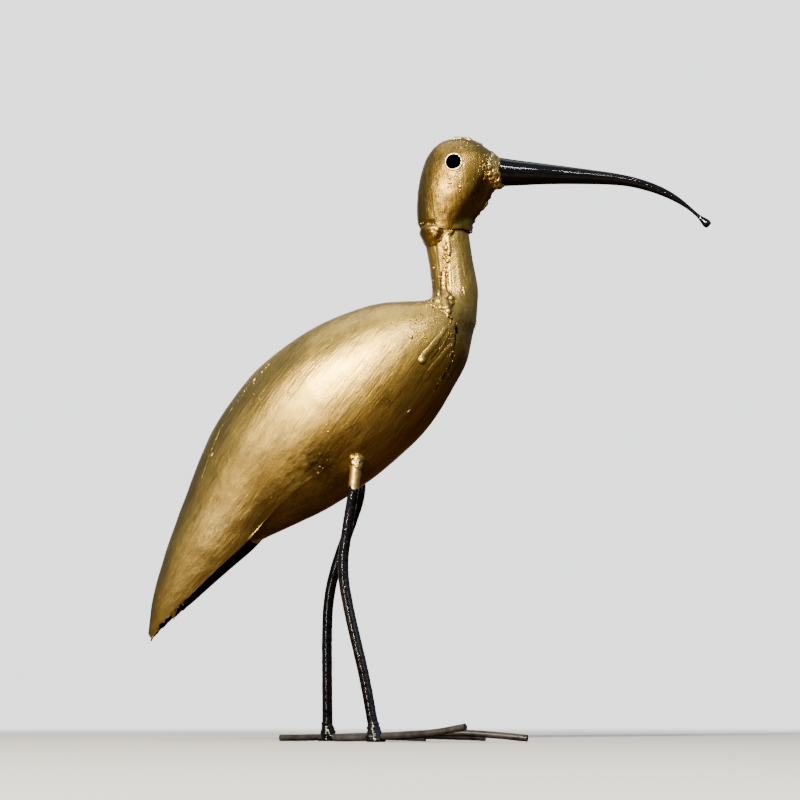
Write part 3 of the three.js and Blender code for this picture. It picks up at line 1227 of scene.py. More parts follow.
@dataclass
class Shells:
    """The four hollow sheets: back, breast, neck and head."""

    paints: Paints
    surface: Surface
    dents: Relief = lumps(0.55 * MM, 55 * MM, 1.0, 2)
    hammer_marks: Relief = lumps(0.14 * MM, 12 * MM, 7.0, 3)
    body_strokes: Relief = strokes(0.1 * MM, 5 * MM, 45 * MM, math.radians(48), 3.0)
    neck_dents: Relief = lumps(0.45 * MM, 26 * MM, 3.0, 2)
    head_dents: Relief = lumps(0.5 * MM, 26 * MM, 3.0, 2)
    pebbles: Relief = lumps(0.2 * MM, 6 * MM, 11, 3)
    neck_strokes: Relief = strokes(0.34 * MM, 4.5 * MM, 40 * MM, math.radians(96), 8.0)
    neck_foot: float = 400 * MM
    neck_fade: float = 40 * MM
    ragged_below: float = 0.15
    ragged_fade: float = 45 * MM
    tear: float = 1.7 * MM
    tear_way: Vector = Vector((-0.35, 0.0, 0.9))
    tear_long: float = 4.0 * MM
    tear_short: float = 1.7 * MM
    burrs: tuple[Burr, ...] = (
        Burr((175, 611), 4.2 * MM, Vector((-0.6, 3.0, -9.0)) * MM),
        Burr((160, 628), 2.4 * MM, Vector((-1.0, 0.5, -5.0)) * MM),
        Burr((184, 603), 1.8 * MM, Vector((0.5, 1.0, -3.0)) * MM),
        Burr((151, 634), 2.6 * MM, Vector((-1.6, 0.0, -5.5)) * MM),
    )

    def build(self) -> None:
        """Make the four sheets."""
        hammered = summed(self.dents, self.hammer_marks, self.body_strokes, DARK_PATCHES.relief)
        breast = summed(hammered, self.on_neck)
        rough = summed(self.neck_dents, self.pebbles, self.neck_strokes)
        smooth = summed(self.head_dents, self.pebbles)
        # The head sheet takes the head's darker gold, which is painted shade.
        gold, neck, head = self.paints.body_gold, self.paints.neck_gold, self.paints.head_gold_painted_shade
        inside = self.paints.inside
        sheets = (
            Sheet("back_shell", 3, hammered, gold, inside, edge=self.ragged_tail),
            Sheet("breast_plate", 3, breast, gold, inside, fitted=True),
            Sheet("neck_back", 4, rough, neck, inside, fitted=True),
            Sheet("head_shell", 3, smooth, head, inside, edge=HeadEdge().shape),
        )
        for sheet in sheets:
            sheet.build(self.surface)

    def on_neck(self, point: Vector, normal: Vector) -> float:
        """Return the height of the neck's strokes, which fade out below it."""
        return eased((point.z - self.neck_foot) / self.neck_fade) * self.neck_strokes(point, normal)

    def ragged_tail(self, bm: BMesh) -> None:
        """Tear the open edges of the tail a little, more towards its tip, and leave burrs on them.

        Args:
            bm: The back shell's skin.
        """
        for vert in bm.verts:
            if vert.is_boundary:
                share = eased((self.ragged_below - vert.co.z) / self.ragged_fade)
                tear = noise.noise(vert.co / self.tear_long) + 0.7 * noise.noise(vert.co / self.tear_short)
                vert.co += self.tear_way * (share * self.tear * tear)
        for burr in self.burrs:
            burr.draw(bm)


@dataclass(frozen=True)
class HeadEdge:
    """The shape of the head's open edges: the cheeks and throat, the wavy lower rim and the eye holes."""

    throat_top: Vector = Vector((61 * MM, 0.0, 546 * MM))
    throat_under: Vector = Vector((0.845, 0.0, -0.534))
    throat_pinch: float = 0.42
    throat_start: float = 5 * MM
    throat_reach: float = 13 * MM
    throat_low: float = 492 * MM
    throat_low_fade: float = 14 * MM
    throat_front: float = 54 * MM
    throat_front_fade: float = 9 * MM
    throat_front_share: float = 0.6
    neck_middle: float = 16 * MM
    rim_band: float = 17 * MM
    rim_lift: float = 6.5 * MM
    rim_wave: float = 1.3 * MM
    rim_curl: float = 5.0 * MM
    rim_ripple: float = 1.0 * MM
    lift_front_mm: float = 3.0
    lift_fade_mm: float = 19.0
    eye: Span = (27.0 * MM, 556.5 * MM)
    eye_radius: float = 7.8 * MM
    eye_area: float = 2.2
    eye_fade: float = 0.9
    cheek: float = 8 * MM
    lip: float = 0.35 * MM
    lip_width: float = 1.2 * MM

    def shape(self, bm: BMesh) -> None:
        """Shape the throat and the lower rim, and round the eye holes.

        Args:
            bm: The head's skin.
        """
        self.narrow_throat(bm)
        self.wavy_rim(bm)
        for side in Side:
            self.round_eye(bm, side)

    def narrow_throat(self, bm: BMesh) -> None:
        """Draw the cheeks in below a line from the beak's root to the middle of the neck.

        Args:
            bm: The head's skin.
        """
        for vert in bm.verts:
            beyond = (vert.co - self.throat_top).dot(self.throat_under) + self.throat_start
            above = eased((vert.co.z - self.throat_low) / self.throat_low_fade)
            front = eased((vert.co.x - self.throat_front) / self.throat_front_fade)
            fade = above * (1.0 - self.throat_front_share * front)
            vert.co.y *= 1.0 - self.throat_pinch * fade * eased(beyond / self.throat_reach)

    def wavy_rim(self, bm: BMesh) -> None:
        """Let the rim run up and down, lifted and curled outwards at the back of each cheek.

        Args:
            bm: The head's skin.
        """
        low = min(vert.co.z for vert in bm.verts)
        for vert in bm.verts:
            share = 1.0 - eased((vert.co.z - low) / self.rim_band)
            if share <= 0.0:
                continue
            outward = Vector((vert.co.x - self.neck_middle, vert.co.y, 0.0)).normalized()
            lifted = 1.0 - eased((vert.co.x / MM - self.lift_front_mm) / self.lift_fade_mm)
            wave = noise.noise(outward * 2.1 + Vector((4.0, 0.0, 0.0)))
            vert.co.z += share * (lifted * self.rim_lift + self.rim_wave * wave)
            curl = share**3 * lifted * (1.0 - lifted) * self.rim_curl
            vert.co += outward * (curl + share * self.rim_ripple * noise.noise(outward * 2.9))

    def round_eye(self, bm: BMesh, side: Side) -> None:
        """Set the edge of an eye hole on its circle and raise a lip of paint round it.

        Args:
            bm: The head's skin.
            side: Which eye.
        """
        x, z = self.eye
        edge_reach = []
        near = []
        for vert in bm.verts:
            reach = math.hypot(vert.co.x - x, vert.co.z - z)
            if reach < self.eye_area * self.eye_radius and vert.co.y * side.value > self.cheek:
                near.append((vert, reach))
                if vert.is_boundary:
                    edge_reach.append(reach)
        grow = self.eye_radius - sum(edge_reach) / len(edge_reach)
        for vert, reach in near:
            fade = 1.0 - eased((reach - self.eye_radius) / (self.eye_fade * self.eye_radius))
            wanted = self.eye_radius if vert.is_boundary else reach + grow * fade
            vert.co.x = x + (vert.co.x - x) * wanted / reach
            vert.co.z = z + (vert.co.z - z) * wanted / reach
            lip = math.exp(-((wanted - self.eye_radius) / self.lip_width) ** 2)
            vert.co.y += side.value * self.lip * lip


@dataclass
class Beak:
    """The black bar of the beak, with its long side ridge."""

    paints: Paints
    swell: float = 0.2 * MM
    bumps: Relief = lumps(0.07 * MM, 11 * MM, 5.0, 3)
    ridge_lean: float = 0.16
    ridge_width: float = 0.13
    ridge_height: float = 0.2 * MM
    ridge_start: float = 0.06
    ridge_rise: float = 0.03
    ridge_end: float = 0.25
    ridge_fall: float = 0.05
    line: tuple[PixelPoint, ...] = (
        (503, 169), (524, 169.4), (545, 170), (578, 172), (603, 174.4), (620, 176.3), (636, 180),
        (655, 188.6), (672, 196),
    )
    seed: int = 51
    drops: int = 300
    gaps: float = 0.12
    drop_sizes: Span = (0.35, 0.75)
    drop_lengths: Span = (1.4, 2.6)
    drop_height: float = 0.8
    voxel: float = 0.33 * MM

    def build(self) -> None:
        """Make the beak from the CAD node, smoothed, and its side ridges."""
        bm = refined(merged_copy("beak"), 3)
        push_out(bm, summed(lambda point, normal: self.swell, self.ridge, self.bumps))
        skin = BVHTree.FromBMesh(bm)
        finish_piece("beak_bar", bm, [self.paints.beak_black], ["beak"])
        self.side_ridges(skin)

    def ridge(self, point: Vector, normal: Vector) -> float:
        """Work out the height of the ridge where a side faces a little upwards.

        Args:
            point: A point on the beak.
            normal: The way the beak faces there.

        Returns:
            The height.
        """
        lean = (normal.z - self.ridge_lean) / self.ridge_width
        rise = eased((point.x - self.ridge_start) / self.ridge_rise)
        fade = rise * eased((self.ridge_end - point.x) / self.ridge_fall)
        return self.ridge_height * fade * math.exp(-abs(lean))

    def side_ridges(self, skin: BVHTree) -> None:
        """Make the thin rough line of thick paint along each side, where the photo shows it glinting.

        Args:
            skin: The beak's surface.
        """
        chance = random.Random(self.seed)
        blobs = []
        for index in range(self.drops):
            station = (len(self.line) - 1) * index / (self.drops - 1)
            hit = skin.ray_cast(VIEW.location, VIEW.direction(tuple(line_point(self.line, station))))[0]
            if not hit or chance.random() < self.gaps:
                continue
            size = chance.uniform(*self.drop_sizes) * MM
            for side in Side:
                point, normal, _, _ = skin.find_nearest(Vector((hit.x, -side.value * hit.y, hit.z)))
                long = chance.uniform(*self.drop_lengths)
                blobs.append(Blob.sized(point, normal, AHEAD, size, long, self.drop_height))
        bm = fused(blobs, self.voxel, 1, None)
        finish_piece("beak_side_ridges", bm, [self.paints.beak_black])


@dataclass
class Leg:
    """One leg: a bumpy black bar with a gold stub at the body and a cone of weld at the ground."""

    side: Side
    paints: Paints
    surface: Surface
    sides: int = 36
    rings: int = 340
    planes: int = 12
    bottom: float = 0.6 * MM
    foot_top: float = 24 * MM
    top_margin: float = 12 * MM
    top_overlap: float = 1 * MM
    broad_bumps: Relief = lumps(0.17 * MM, 4.4 * MM, 2.0, 2)
    weld_seed: int = 31
    weld_rings: tuple[Span, ...] = ((1.5, 9.2), (5.0, 8.6), (9.0, 7.4), (13, 6.4), (17, 5.6))
    weld_ring_height: float = 4.2 * MM
    weld_drops: int = 4
    weld_drop_sizes: Span = (1.4, 2.2)
    weld_drop_sink: float = 0.45
    weld_voxel: float = 0.7 * MM
    weld_relief: Relief = lumps(0.2 * MM, 4 * MM, 4.0, 2)
    collar_seed: int = 41
    collar_drops: int = 26
    collar_steps: int = 60
    collar_wobble: float = 0.1
    collar_gap: float = 0.6 * MM
    collar_lean: float = 0.6
    collar_sizes: Span = (1.7, 3.0)
    collar_falls: Span = (1.5, 9.0)
    collar_sink_mm: float = 1.3
    collar_voxel: float = 0.55 * MM
    collar_relief: Relief = lumps(0.25 * MM, 2.2 * MM, 4.0, 2)

    @property
    def name(self) -> str:
        """Return the CAD name of the leg."""
        return self.side.name.lower() + "_leg"

    @property
    def fine_bumps(self) -> Relief:
        """Return the finer bumps of the bar, higher on the right leg."""
        return lumps((0.13 if self.side is Side.RIGHT else 0.05) * MM, 2.3 * MM, 8.0, 1)

    def build(self) -> None:
        """Make the bar, its weld foot and the weld collar at the body."""
        _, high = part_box(self.name)
        rows = bar_line(self.name, UP, self.foot_top, high.z - self.top_margin, self.planes)
        foot = self.beyond(rows[1], rows[0], self.bottom)
        top = self.beyond(rows[-2], rows[-1], high.z + self.top_overlap)
        bar = bent_bar([foot, *rows, top], self.sides, self.rings, summed(self.broad_bumps, self.fine_bumps))
        lift_to_ground(bar)
        finish_piece(self.name + "_bar", bar, [self.paints.leg_black[self.side]], [self.name])
        self.weld_foot(foot, rows[0])
        self.collar(rows[-3], top)

    @staticmethod
    def beyond(before: Row, end: Row, height: float) -> list[float]:
        """Return the row at a height straight on through two rows, with the last one's radius."""
        share = (height - end[2]) / (end[2] - before[2])
        return [e + (e - b) * share for b, e in zip(before[:3], end[:3])] + [end[3]]

    def weld_foot(self, foot: Row, above: Row) -> None:
        """Make the cone of weld metal round the ankle, flat below.

        Args:
            foot: The bar's lowest row.
            above: The next row up.
        """
        blobs = []
        chance = random.Random(self.weld_seed + (self.side is Side.LEFT))
        for height, radius in self.weld_rings:
            share = height * MM / above[2]
            centre = Vector([f + (a - f) * share for f, a in zip(foot[:3], above[:3])])
            centre.z = height * MM
            blobs.append(Blob(centre, UP, AHEAD, radius * MM, radius * MM, self.weld_ring_height))
            for _ in range(self.weld_drops):
                turn = chance.uniform(0, 2 * math.pi)
                out = Vector((math.cos(turn), math.sin(turn), 0.0))
                size = chance.uniform(*self.weld_drop_sizes) * MM
                edge = centre + out * (radius * MM - self.weld_drop_sink * size)
                blobs.append(Blob.sized(edge, out, UP, size))
        bm = fused(blobs, self.weld_voxel, 7, self.weld_relief)
        lift_to_ground(bm)
        finish_piece(self.name + "_weld", bm, [self.paints.leg_black[self.side]])

    def collar(self, low: Row, top: Row) -> None:
        """Make the ring of gold weld metal where the bar meets the body.

        Args:
            low: A row of the bar below the body.
            top: The bar's highest row, inside the body.
        """
        chance = random.Random(self.collar_seed + (self.side is Side.LEFT))
        steps = self.collar_steps
        line = [Vector(low[:3]).lerp(Vector(top[:3]), index / steps) for index in range(steps + 1)]
        root = min(line, key=lambda point: (self.surface.nearest(point)[0] - point).length)
        up = (line[-1] - line[0]).normalized()
        across = up.orthogonal().normalized()
        over = up.cross(across)
        blobs = []
        for index in range(self.collar_drops):
            turn = 2 * math.pi * index / self.collar_drops
            turn += chance.uniform(-self.collar_wobble, self.collar_wobble)
            out = across * math.cos(turn) + over * math.sin(turn)
            edge = root + out * (top[3] + self.collar_gap)
            point, normal = self.surface.nearest(edge)
            size = chance.uniform(*self.collar_sizes) * MM
            blobs.append(Blob.sized(edge.lerp(point, self.collar_lean), out, up, size, long=1.2, thick=0.8))
            low_drop = edge - up * (chance.uniform(*self.collar_falls) * MM) - out * self.collar_sink_mm * MM
            blobs.append(Blob.sized(low_drop, out, up, size, long=1.2, thick=0.7))
        bm = fused(blobs, self.collar_voxel, 4, self.collar_relief)
        finish_piece(self.name + "_collar", bm, [self.paints.weld_gold_and_glint])


@dataclass
class Toes:
    """The three toe bars of a foot, cut off square at their ends."""

    side: Side
    paints: Paints
    sides: int = 24
    rings: int = 110
    planes: int = 9
    end_margin: float = 2.5 * MM
    bumps: Relief = lumps(0.12 * MM, 4 * MM, 6.0, 2)
    pits: Relief = lumps(0.06 * MM, 1.5 * MM, 9.0, 2)

    def build(self) -> None:
        """Make the three bars."""
        for kind in ("outer", "middle", "inner"):
            self.toe(kind)

    def toe(self, kind: str) -> None:
        """Make one bar along its CAD node.

        Args:
            kind: Which toe: outer, middle or inner.
        """
        node = f"{self.side.name.lower()}_{kind}_toe"
        low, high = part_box(node)
        outwards = self.side.value * (-1 if kind == "inner" else 1)
        span = high - low
        direction = Vector((span.x, outwards * span.y, 0.0)).normalized()
        reaches = [direction.dot(vert.co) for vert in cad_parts[node].data.vertices]
        first, last = min(reaches) + self.end_margin, max(reaches) - self.end_margin
        rows = bar_line(node, direction, first, last, self.planes)
        rows = [self.beyond(rows[1], rows[0]), *rows, self.beyond(rows[-2], rows[-1])]
        bar = bent_bar(rows, self.sides, self.rings, summed(self.bumps, self.pits))
        lift_to_ground(bar)
        for edge in bar.edges:
            edge.smooth = edge.calc_face_angle(0.0) < SHARP
        finish_piece(node + "_bar", bar, [self.paints.worn], [node])

    def beyond(self, before: Row, end: Row) -> list[float]:
        """Return the row at the bar's end, straight on from the last two rows."""
        step = (Vector(end[:3]) - Vector(before[:3])).normalized() * self.end_margin
        return [*(Vector(end[:3]) + step), end[3]]


@dataclass(frozen=True)
class Bead:
    """A bead of drops along a line of pixels, with its sizes in millimetres.

    The drops vary and stray by the share `wobble`, the share `skip` of them is left out, and the half width
    runs from `width` to `last_width`. Half a drop's thickness is the share `flat` of its half width.
    """

    pixels: tuple[PixelPoint, ...]
    step_px: float
    width: float
    height: float
    wobble: float = 0.4
    skip: float = 0.0
    last_width: float | None = None
    flat: float = 0.9


@dataclass(frozen=True)
class Patch:
    """Random lumps on the skin nearest to a box on each side, its corners given for the left one."""

    low: tuple[float, float, float]
    high: tuple[float, float, float]
    count: int
    proud: float
    sizes: Span = (0.9 * MM, 2.0 * MM)


@dataclass
class Welder:
    """Lays drops of weld metal and paint on the sheets, where the reference view shows them."""

    surface: Surface
    chance: random.Random = field(default_factory=lambda: random.Random(20))
    lump_depth: float = 0.85
    lump_length: float = 1.15
    drop_depth: float = 0.8
    narrowest: float = 0.7

    def along(self, pixels: Sequence[PixelPoint], step_px: float) -> list[Place]:
        """Find skin points at even steps under a line of pixels.

        Args:
            pixels: The line.
            step_px: The step.

        Returns:
            Points and normals.
        """
        found = []
        for start, end in zip(pixels, pixels[1:]):
            steps = max(1, round(math.dist(start, end) / step_px))
            for index in range(steps):
                share = index / steps
                found.append(self.surface.under(tuple(s + (e - s) * share for s, e in zip(start, end))))
        found.append(self.surface.under(pixels[-1]))
        return [hit for hit in found if hit]

    def laid(self, bead: Bead, places: Sequence[Place]) -> list[Blob]:
        """Lay a bead along skin points.

        Args:
            bead: The bead.
            places: Points and normals.

        Returns:
            Its drops.
        """
        blobs = []
        last = max(len(places) - 1, 1)
        width, height = bead.width * MM, bead.height * MM
        growth = (bead.last_width or bead.width) * MM - width
        for index, (point, normal) in enumerate(places):
            if self.chance.random() < bead.skip:
                continue
            grown = width + growth * index / last
            ahead = places[min(index + 1, len(places) - 1)][0] - places[max(index - 1, 0)][0]
            side = normal.cross(ahead).normalized() if ahead.length > 0 else normal.orthogonal()
            size = 1.0 + bead.wobble * self.chance.uniform(-1, 1)
            stray = side * (grown * bead.wobble * self.chance.uniform(-1, 1))
            deep = grown * size * bead.flat
            sunk = normal * (height * size * grown / width - deep)
            blobs.append(Blob(point + stray + sunk, normal, ahead, grown * size, grown * size, deep))
        return blobs

    def bead(self, bead: Bead) -> list[Blob]:
        """Return the drops of a bead on the side that the reference view sees."""
        return self.laid(bead, self.along(bead.pixels, bead.step_px))

    def bead_pair(self, bead: Bead) -> list[Blob]:
        """Return the drops of a bead and of its like on the other side."""
        places = self.along(bead.pixels, bead.step_px)
        return self.laid(bead, places) + self.laid(bead, [self.surface.opposite(spot) for spot, _ in places])

    def lump(self, pixel: PixelPoint, width: float, proud: float, both: bool = False) -> list[Blob]:
        """Lay one smooth lump.

        Args:
            pixel: Where it is seen.
            width: Its half width.
            proud: Its height over the skin.
            both: Whether the other side has its like.

        Returns:
            The lumps.
        """
        hit = self.surface.under(pixel)
        if not hit:
            return []
        places = [hit, self.surface.opposite(hit[0])] if both else [hit]
        long, deep = width * self.lump_length, self.lump_depth * width
        rise = proud - deep
        return [Blob(point + normal * rise, normal, UP, long, width, deep) for point, normal in places]

    def lump_pairs(self, rows: Sequence[Row]) -> list[Blob]:
        """Return lumps on both sides, from rows of pixel x and y, half width and height in millimetres."""
        pairs = [self.lump((x, y), width * MM, proud * MM, both=True) for x, y, width, proud in rows]
        return [blob for pair in pairs for blob in pair]

    def scattered(self, patch: Patch, side: Side) -> list[Blob]:
        """Scatter lumps.

        Args:
            patch: Where, how many and how large they are.
            side: The side they are on.

        Returns:
            The lumps.
        """
        near, far = sorted((side.value * patch.low[1], side.value * patch.high[1]))
        low = Vector((patch.low[0], near, patch.low[2])) * MM
        high = Vector((patch.high[0], far, patch.high[2])) * MM
        blobs = []
        for _ in range(patch.count):
            place = Vector([self.chance.uniform(a, b) for a, b in zip(low, high)])
            point, normal = self.surface.nearest(place)
            size = self.chance.uniform(*patch.sizes)
            centre = point - normal * (size * (self.drop_depth - patch.proud))
            width = size * self.chance.uniform(self.narrowest, 1.0)
            blobs.append(Blob(centre, normal, normal.orthogonal(), size, width, size * self.drop_depth))
        return blobs


@dataclass
class Laid:
    """What every piece laid on the sheets shares: the paints, the welder's hand and how its drops melt."""

    paints: Paints
    hand: Welder
    voxel: float = 0.6 * MM
    smoothing: int = 2
    relief: Relief | None = None

    def melt(self, name: str, blobs: Sequence[Blob], paint: Material) -> None:
        """Melt drops together into a painted piece."""
        finish_piece(name, fused(blobs, self.voxel, self.smoothing, self.relief), [paint])

    @property
    def chance(self) -> random.Random:
        """Return the one source of random numbers."""
        return self.hand.chance

    @property
    def surface(self) -> Surface:
        """Return the sheets' skins."""
        return self.hand.surface


@dataclass
class EyeRims(Laid):
    """The thin rings of thick paint round the eye holes, in near-white gold that is a painted highlight."""

    eye: Span = HeadEdge.eye
    outside: float = 30 * MM
    reach: float = 8.7 * MM
    drops: int = 60
    size: float = 1.05 * MM
    size_change: float = 0.12
    proud_mm: float = 0.15
    voxel: float = 0.35 * MM
    relief: Relief = lumps(0.12 * MM, 1.6 * MM, 4.0, 2)

    def build(self) -> None:
        """Make the two rings."""
        for side in Side:
            self.ring(side)

    def ring(self, side: Side) -> None:
        """Make one ring.

        Args:
            side: Which eye.
        """
        blobs = []
        x, z = self.eye
        for index in range(self.drops):
            turn = 2 * math.pi * index / self.drops
            across = Vector((math.cos(turn), 0.0, math.sin(turn)))
            place = Vector((x, side.value * self.outside, z)) + across * self.reach
            point, normal = self.surface.nearest(place)
            ahead = Vector((-across.z, 0.0, across.x))
            size = self.size * (1.0 + self.size_change * self.chance.uniform(-1, 1))
            centre = point + normal * self.proud_mm * MM
            blobs.append(Blob.sized(centre, normal, ahead, size, long=1.8, thick=0.7))
        self.melt(side.name.lower() + "_eye_rim", blobs, self.paints.rim_gold_painted_highlight)


@dataclass(frozen=True)
class Fill:
    """The metal in a joint up to a height: its half width and its height, and how two waves change them."""

    up_to_mm: float
    wide: float
    wide_broad: float
    wide_fine: float
    proud: float
    proud_broad: float
    proud_fine: float

    def size(self, broad: float, fine: float) -> Span:
        """Return the half width and the height, in millimetres, for values of the two waves."""
        wide = self.wide + self.wide_broad * broad + self.wide_fine * fine
        return wide, self.proud + self.proud_broad * broad + self.proud_fine * fine


@dataclass
class JointFill(Laid):
    """The weld metal in the joints of the sheets: heavy at the neck, a low fill along the belly."""

    start_mm: float = 236
    belly: Fill = Fill(342, 1.7, 0.7, 0.0, 0.1, 0.16, 0.1)
    neck_foot: Fill = Fill(404, 1.6, 0.0, 0.7, 0.25, 0.35, 0.45)
    neck: Fill = Fill(math.inf, 3.8, 0.8, 0.0, 0.15, 0.25, 0.08)
    crumb_over: float = 0.85
    crumb: Span = (1.5, 0.6)
    broad_wave: float = 9 * MM
    fine_wave: float = 2.6 * MM
    fine_shift: Vector = Vector((5.0, 0.0, 0.0))
    depth: float = 0.9
    lift: float = 0.25
    voxel: float = 0.7 * MM
    smoothing: int = 3
    relief: Relief = lumps(0.12 * MM, 2.4 * MM, 3.0, 2)

    def build(self) -> None:
        """Make the fill of both joints."""
        joints = self.surface.joints
        spots = joints["breast_plate"] + joints["neck_back"]
        blobs = [self.drop(spot) for spot in spots if spot.point.z / MM >= self.start_mm]
        self.melt("joint_fill", blobs, self.paints.body_gold)

    def drop(self, spot: Spot) -> Blob:
        """Make the drop at one spot.

        Args:
            spot: A spot of the joint.

        Returns:
            The drop.
        """
        broad = noise.noise(spot.point / self.broad_wave)
        fine = noise.noise(spot.point / self.fine_wave + self.fine_shift)
        height = spot.point.z / MM
        fill = next(fill for fill in (self.belly, self.neck_foot, self.neck) if height < fill.up_to_mm)
        wide, proud = fill.size(broad, fine)
        if fill is self.belly and broad + fine > self.crumb_over:
            wide, proud = self.crumb
        deep = self.depth * wide
        centre = spot.point + spot.normal * ((proud - deep + self.lift) * MM)
        return Blob(centre, spot.normal, spot.along, wide * MM, wide * MM, deep * MM)


@dataclass
class SeamWelds(Laid):
    """The weld beads on the body's seams and on its back."""

    glints: tuple[PixelPoint, ...] = (
        (457, 323), (453.5, 339), (457, 343), (451, 349), (454.5, 356), (452.3, 361), (446.5, 369),
        (448.5, 375), (440.5, 380.5), (437.5, 384), (433.5, 391),
    )
    glint_sizes: Span = (0.8, 1.4)
    glint_proud: float = 0.55 * MM
    back_line: tuple[PixelPoint, ...] = ((231, 408), (247, 387), (262, 371), (272, 360))
    back_step: float = 0.5
    crumbs: int = 45
    crumb_stray: float = 1.7 * MM
    crumb_sizes: Span = (0.7, 1.8)
    crumb_sinks: Span = (0.25, 0.6)
    crumb_way: Vector = Vector((0.6, 0, 0.8))
    tail_bead: Bead = Bead(((205, 475), (209, 462), (213, 452), (217, 440)), 2.2, 1.1, 0.45, 0.9, 0.5)
    front_bead: Bead = Bead(((476.5, 321), (476.3, 324), (475.6, 327)), 1.0, 1.5, 1.1, 0.2)
    relief: Relief = lumps(0.16 * MM, 2.2 * MM, 3.0, 2)

    def build(self) -> None:
        """Make the glinting lumps by the shoulder, the crumbs on the back and the two short beads."""
        blobs = []
        for pixel in self.glints:
            blobs += self.hand.lump(pixel, self.chance.uniform(*self.glint_sizes) * MM, self.glint_proud)
        blobs += self.back_crumbs()
        blobs += self.hand.bead(self.tail_bead)
        front = [self.surface.nearest(VIEW.at_depth(pixel, 0.0)) for pixel in self.front_bead.pixels]
        blobs += self.hand.laid(self.front_bead, front)
        self.melt("seam_welds", blobs, self.paints.weld_gold_and_glint)

    def back_crumbs(self) -> list[Blob]:
        """Scatter crumbs along the line on the back.

        Returns:
            The crumbs.
        """
        line = self.hand.along(self.back_line, self.back_step)
        blobs = []
        for _ in range(self.crumbs):
            start, _ = self.chance.choice(line)
            stray = Vector([self.chance.gauss(0.0, self.crumb_stray) for _ in range(3)])
            point, normal = self.surface.nearest(start + stray)
            size = self.chance.uniform(*self.crumb_sizes) * MM
            sunk = size * self.chance.uniform(*self.crumb_sinks)
            crumb = Blob.sized(point - normal * sunk, normal, self.crumb_way, size, long=1.5, thick=0.7)
            blobs.append(crumb)
        return blobs


@dataclass
class NeckFoot(Laid):
    """The smooth thick mass of weld metal at the foot of the neck."""

    mass: tuple[Row, ...] = (
        (450.8, 303.5, 3.8, 3.4), (451.2, 298, 3, 2.8), (437.5, 300, 5.2, 3.2), (433, 299.5, 4.6, 2.6),
        (429, 298.8, 3.8, 1.9), (440.5, 306, 4.6, 2.9), (446, 296, 5.6, 4.3), (448.5, 311, 4, 2.8),
        (439, 294, 4.6, 3.4),
    )
    spine: Bead = Bead(
        ((443.8, 273), (443.4, 284), (444, 292), (445, 300), (447, 308)), 0.8, 3.6, 2.7, 0.05, last_width=5.4
    )
    smoothing: int = 4
    relief: Relief = summed(lumps(0.35 * MM, 6 * MM, 5.0, 2), lumps(0.08 * MM, 2.2 * MM, 2.0, 2))

    def build(self) -> None:
        """Make the mass."""
        blobs = self.hand.lump_pairs(self.mass) + self.hand.bead_pair(self.spine)
        self.melt("neck_foot_weld", blobs, self.paints.neck_gold)


@dataclass
class NeckWelds(Laid):
    """The column of lumps up the neck, and the beads and lumps where it meets the back."""

    column: tuple[Row, ...] = (
        (446.5, 243, 1.8, 1.1), (446, 248.5, 2.9, 1.9), (449, 254, 2.4, 1.8), (444.2, 257, 2.5, 1.8),
        (447.6, 261, 2.7, 2), (446, 266.5, 2.1, 1.5), (447.8, 271, 2.2, 1.5), (446.3, 275.5, 2, 1.3),
        (433.6, 268, 1.5, 1), (433, 281, 1.4, 1), (438.5, 277, 1.8, 1.1),
    )
    beads: tuple[Bead, ...] = (
        Bead(((424, 299), (430, 303.5), (438, 308)), 2.4, 1.5, 0.9, 0.5),
        Bead(((441, 309), (446, 313), (451, 318)), 2.0, 1.9, 1.2, 0.5),
        Bead(((463, 287), (464.5, 291), (465.5, 295)), 1.0, 1.8, 0.6, 0.3),
    )
    foot_lumps: tuple[Row, ...] = ((430.5, 304, 1.9, 1.1), (447.5, 314, 2.4, 1.7), (451, 322, 1.6, 1.1))
    smoothing: int = 3
    relief: Relief = lumps(0.12 * MM, 3.4 * MM, 3.0, 2)

    def build(self) -> None:
        """Make the lumps and beads."""
        blobs = self.hand.lump_pairs(self.column)
        for bead in self.beads:
            blobs += self.hand.bead_pair(bead)
        blobs += self.hand.lump_pairs(self.foot_lumps)
        self.melt("neck_welds", blobs, self.paints.neck_gold)


@dataclass
class PaintedShadeSlots(Laid):
    """Painted shade in the mouths that the weld has left open at the shoulder and neck, and in pits: lines
    with their half widths.
    """

    mouths: tuple[tuple[tuple[PixelPoint, ...], float], ...] = (
        (((456, 326.8), (456.7, 332.4)), 2.6), (((455.2, 335), (455.4, 339.5)), 1.1),
        (((455, 341.5), (453.2, 349)), 0.9), (((452.4, 351.5), (452, 357)), 1.1),
        (((450.5, 364), (448, 369)), 0.9), (((445.6, 373), (442, 378.5)), 0.8),
        (((438, 385), (435.5, 389)), 0.7),
        # a painted shadow along the right edge of the first paint run
        (((449.6, 331.5), (443.6, 341.5), (437, 351.5), (431, 359)), 0.45),
        (((448.5, 317.2), (449, 318)), 0.8), (((432.5, 307.4), (433.2, 308)), 0.7),
        (((416, 319.3), (416.6, 320.2)), 0.7), (((419.3, 343.6), (419.8, 345)), 0.5),
        (((454.6, 298), (454.4, 304), (452.6, 306.5)), 0.5), (((447.8, 262.5), (449.2, 259.5)), 0.7),
        (((444.6, 253.6), (445.6, 254.4)), 0.7),
    )
    step_px: float = 0.4
    height: float = 0.35
    wobble: float = 0.1
    flat: float = 0.6
    voxel: float = 0.28 * MM
    smoothing: int = 1

    def build(self) -> None:
        """Make the mouths as thin dark inlays of painted shade, with no opening under them."""
        blobs = []
        for pixels, width in self.mouths:
            mouth = Bead(pixels, self.step_px, width, self.height, self.wobble, flat=self.flat)
            blobs += self.hand.bead(mouth)
        self.melt("painted_shade_slots", blobs, self.paints.painted_shade_dark)


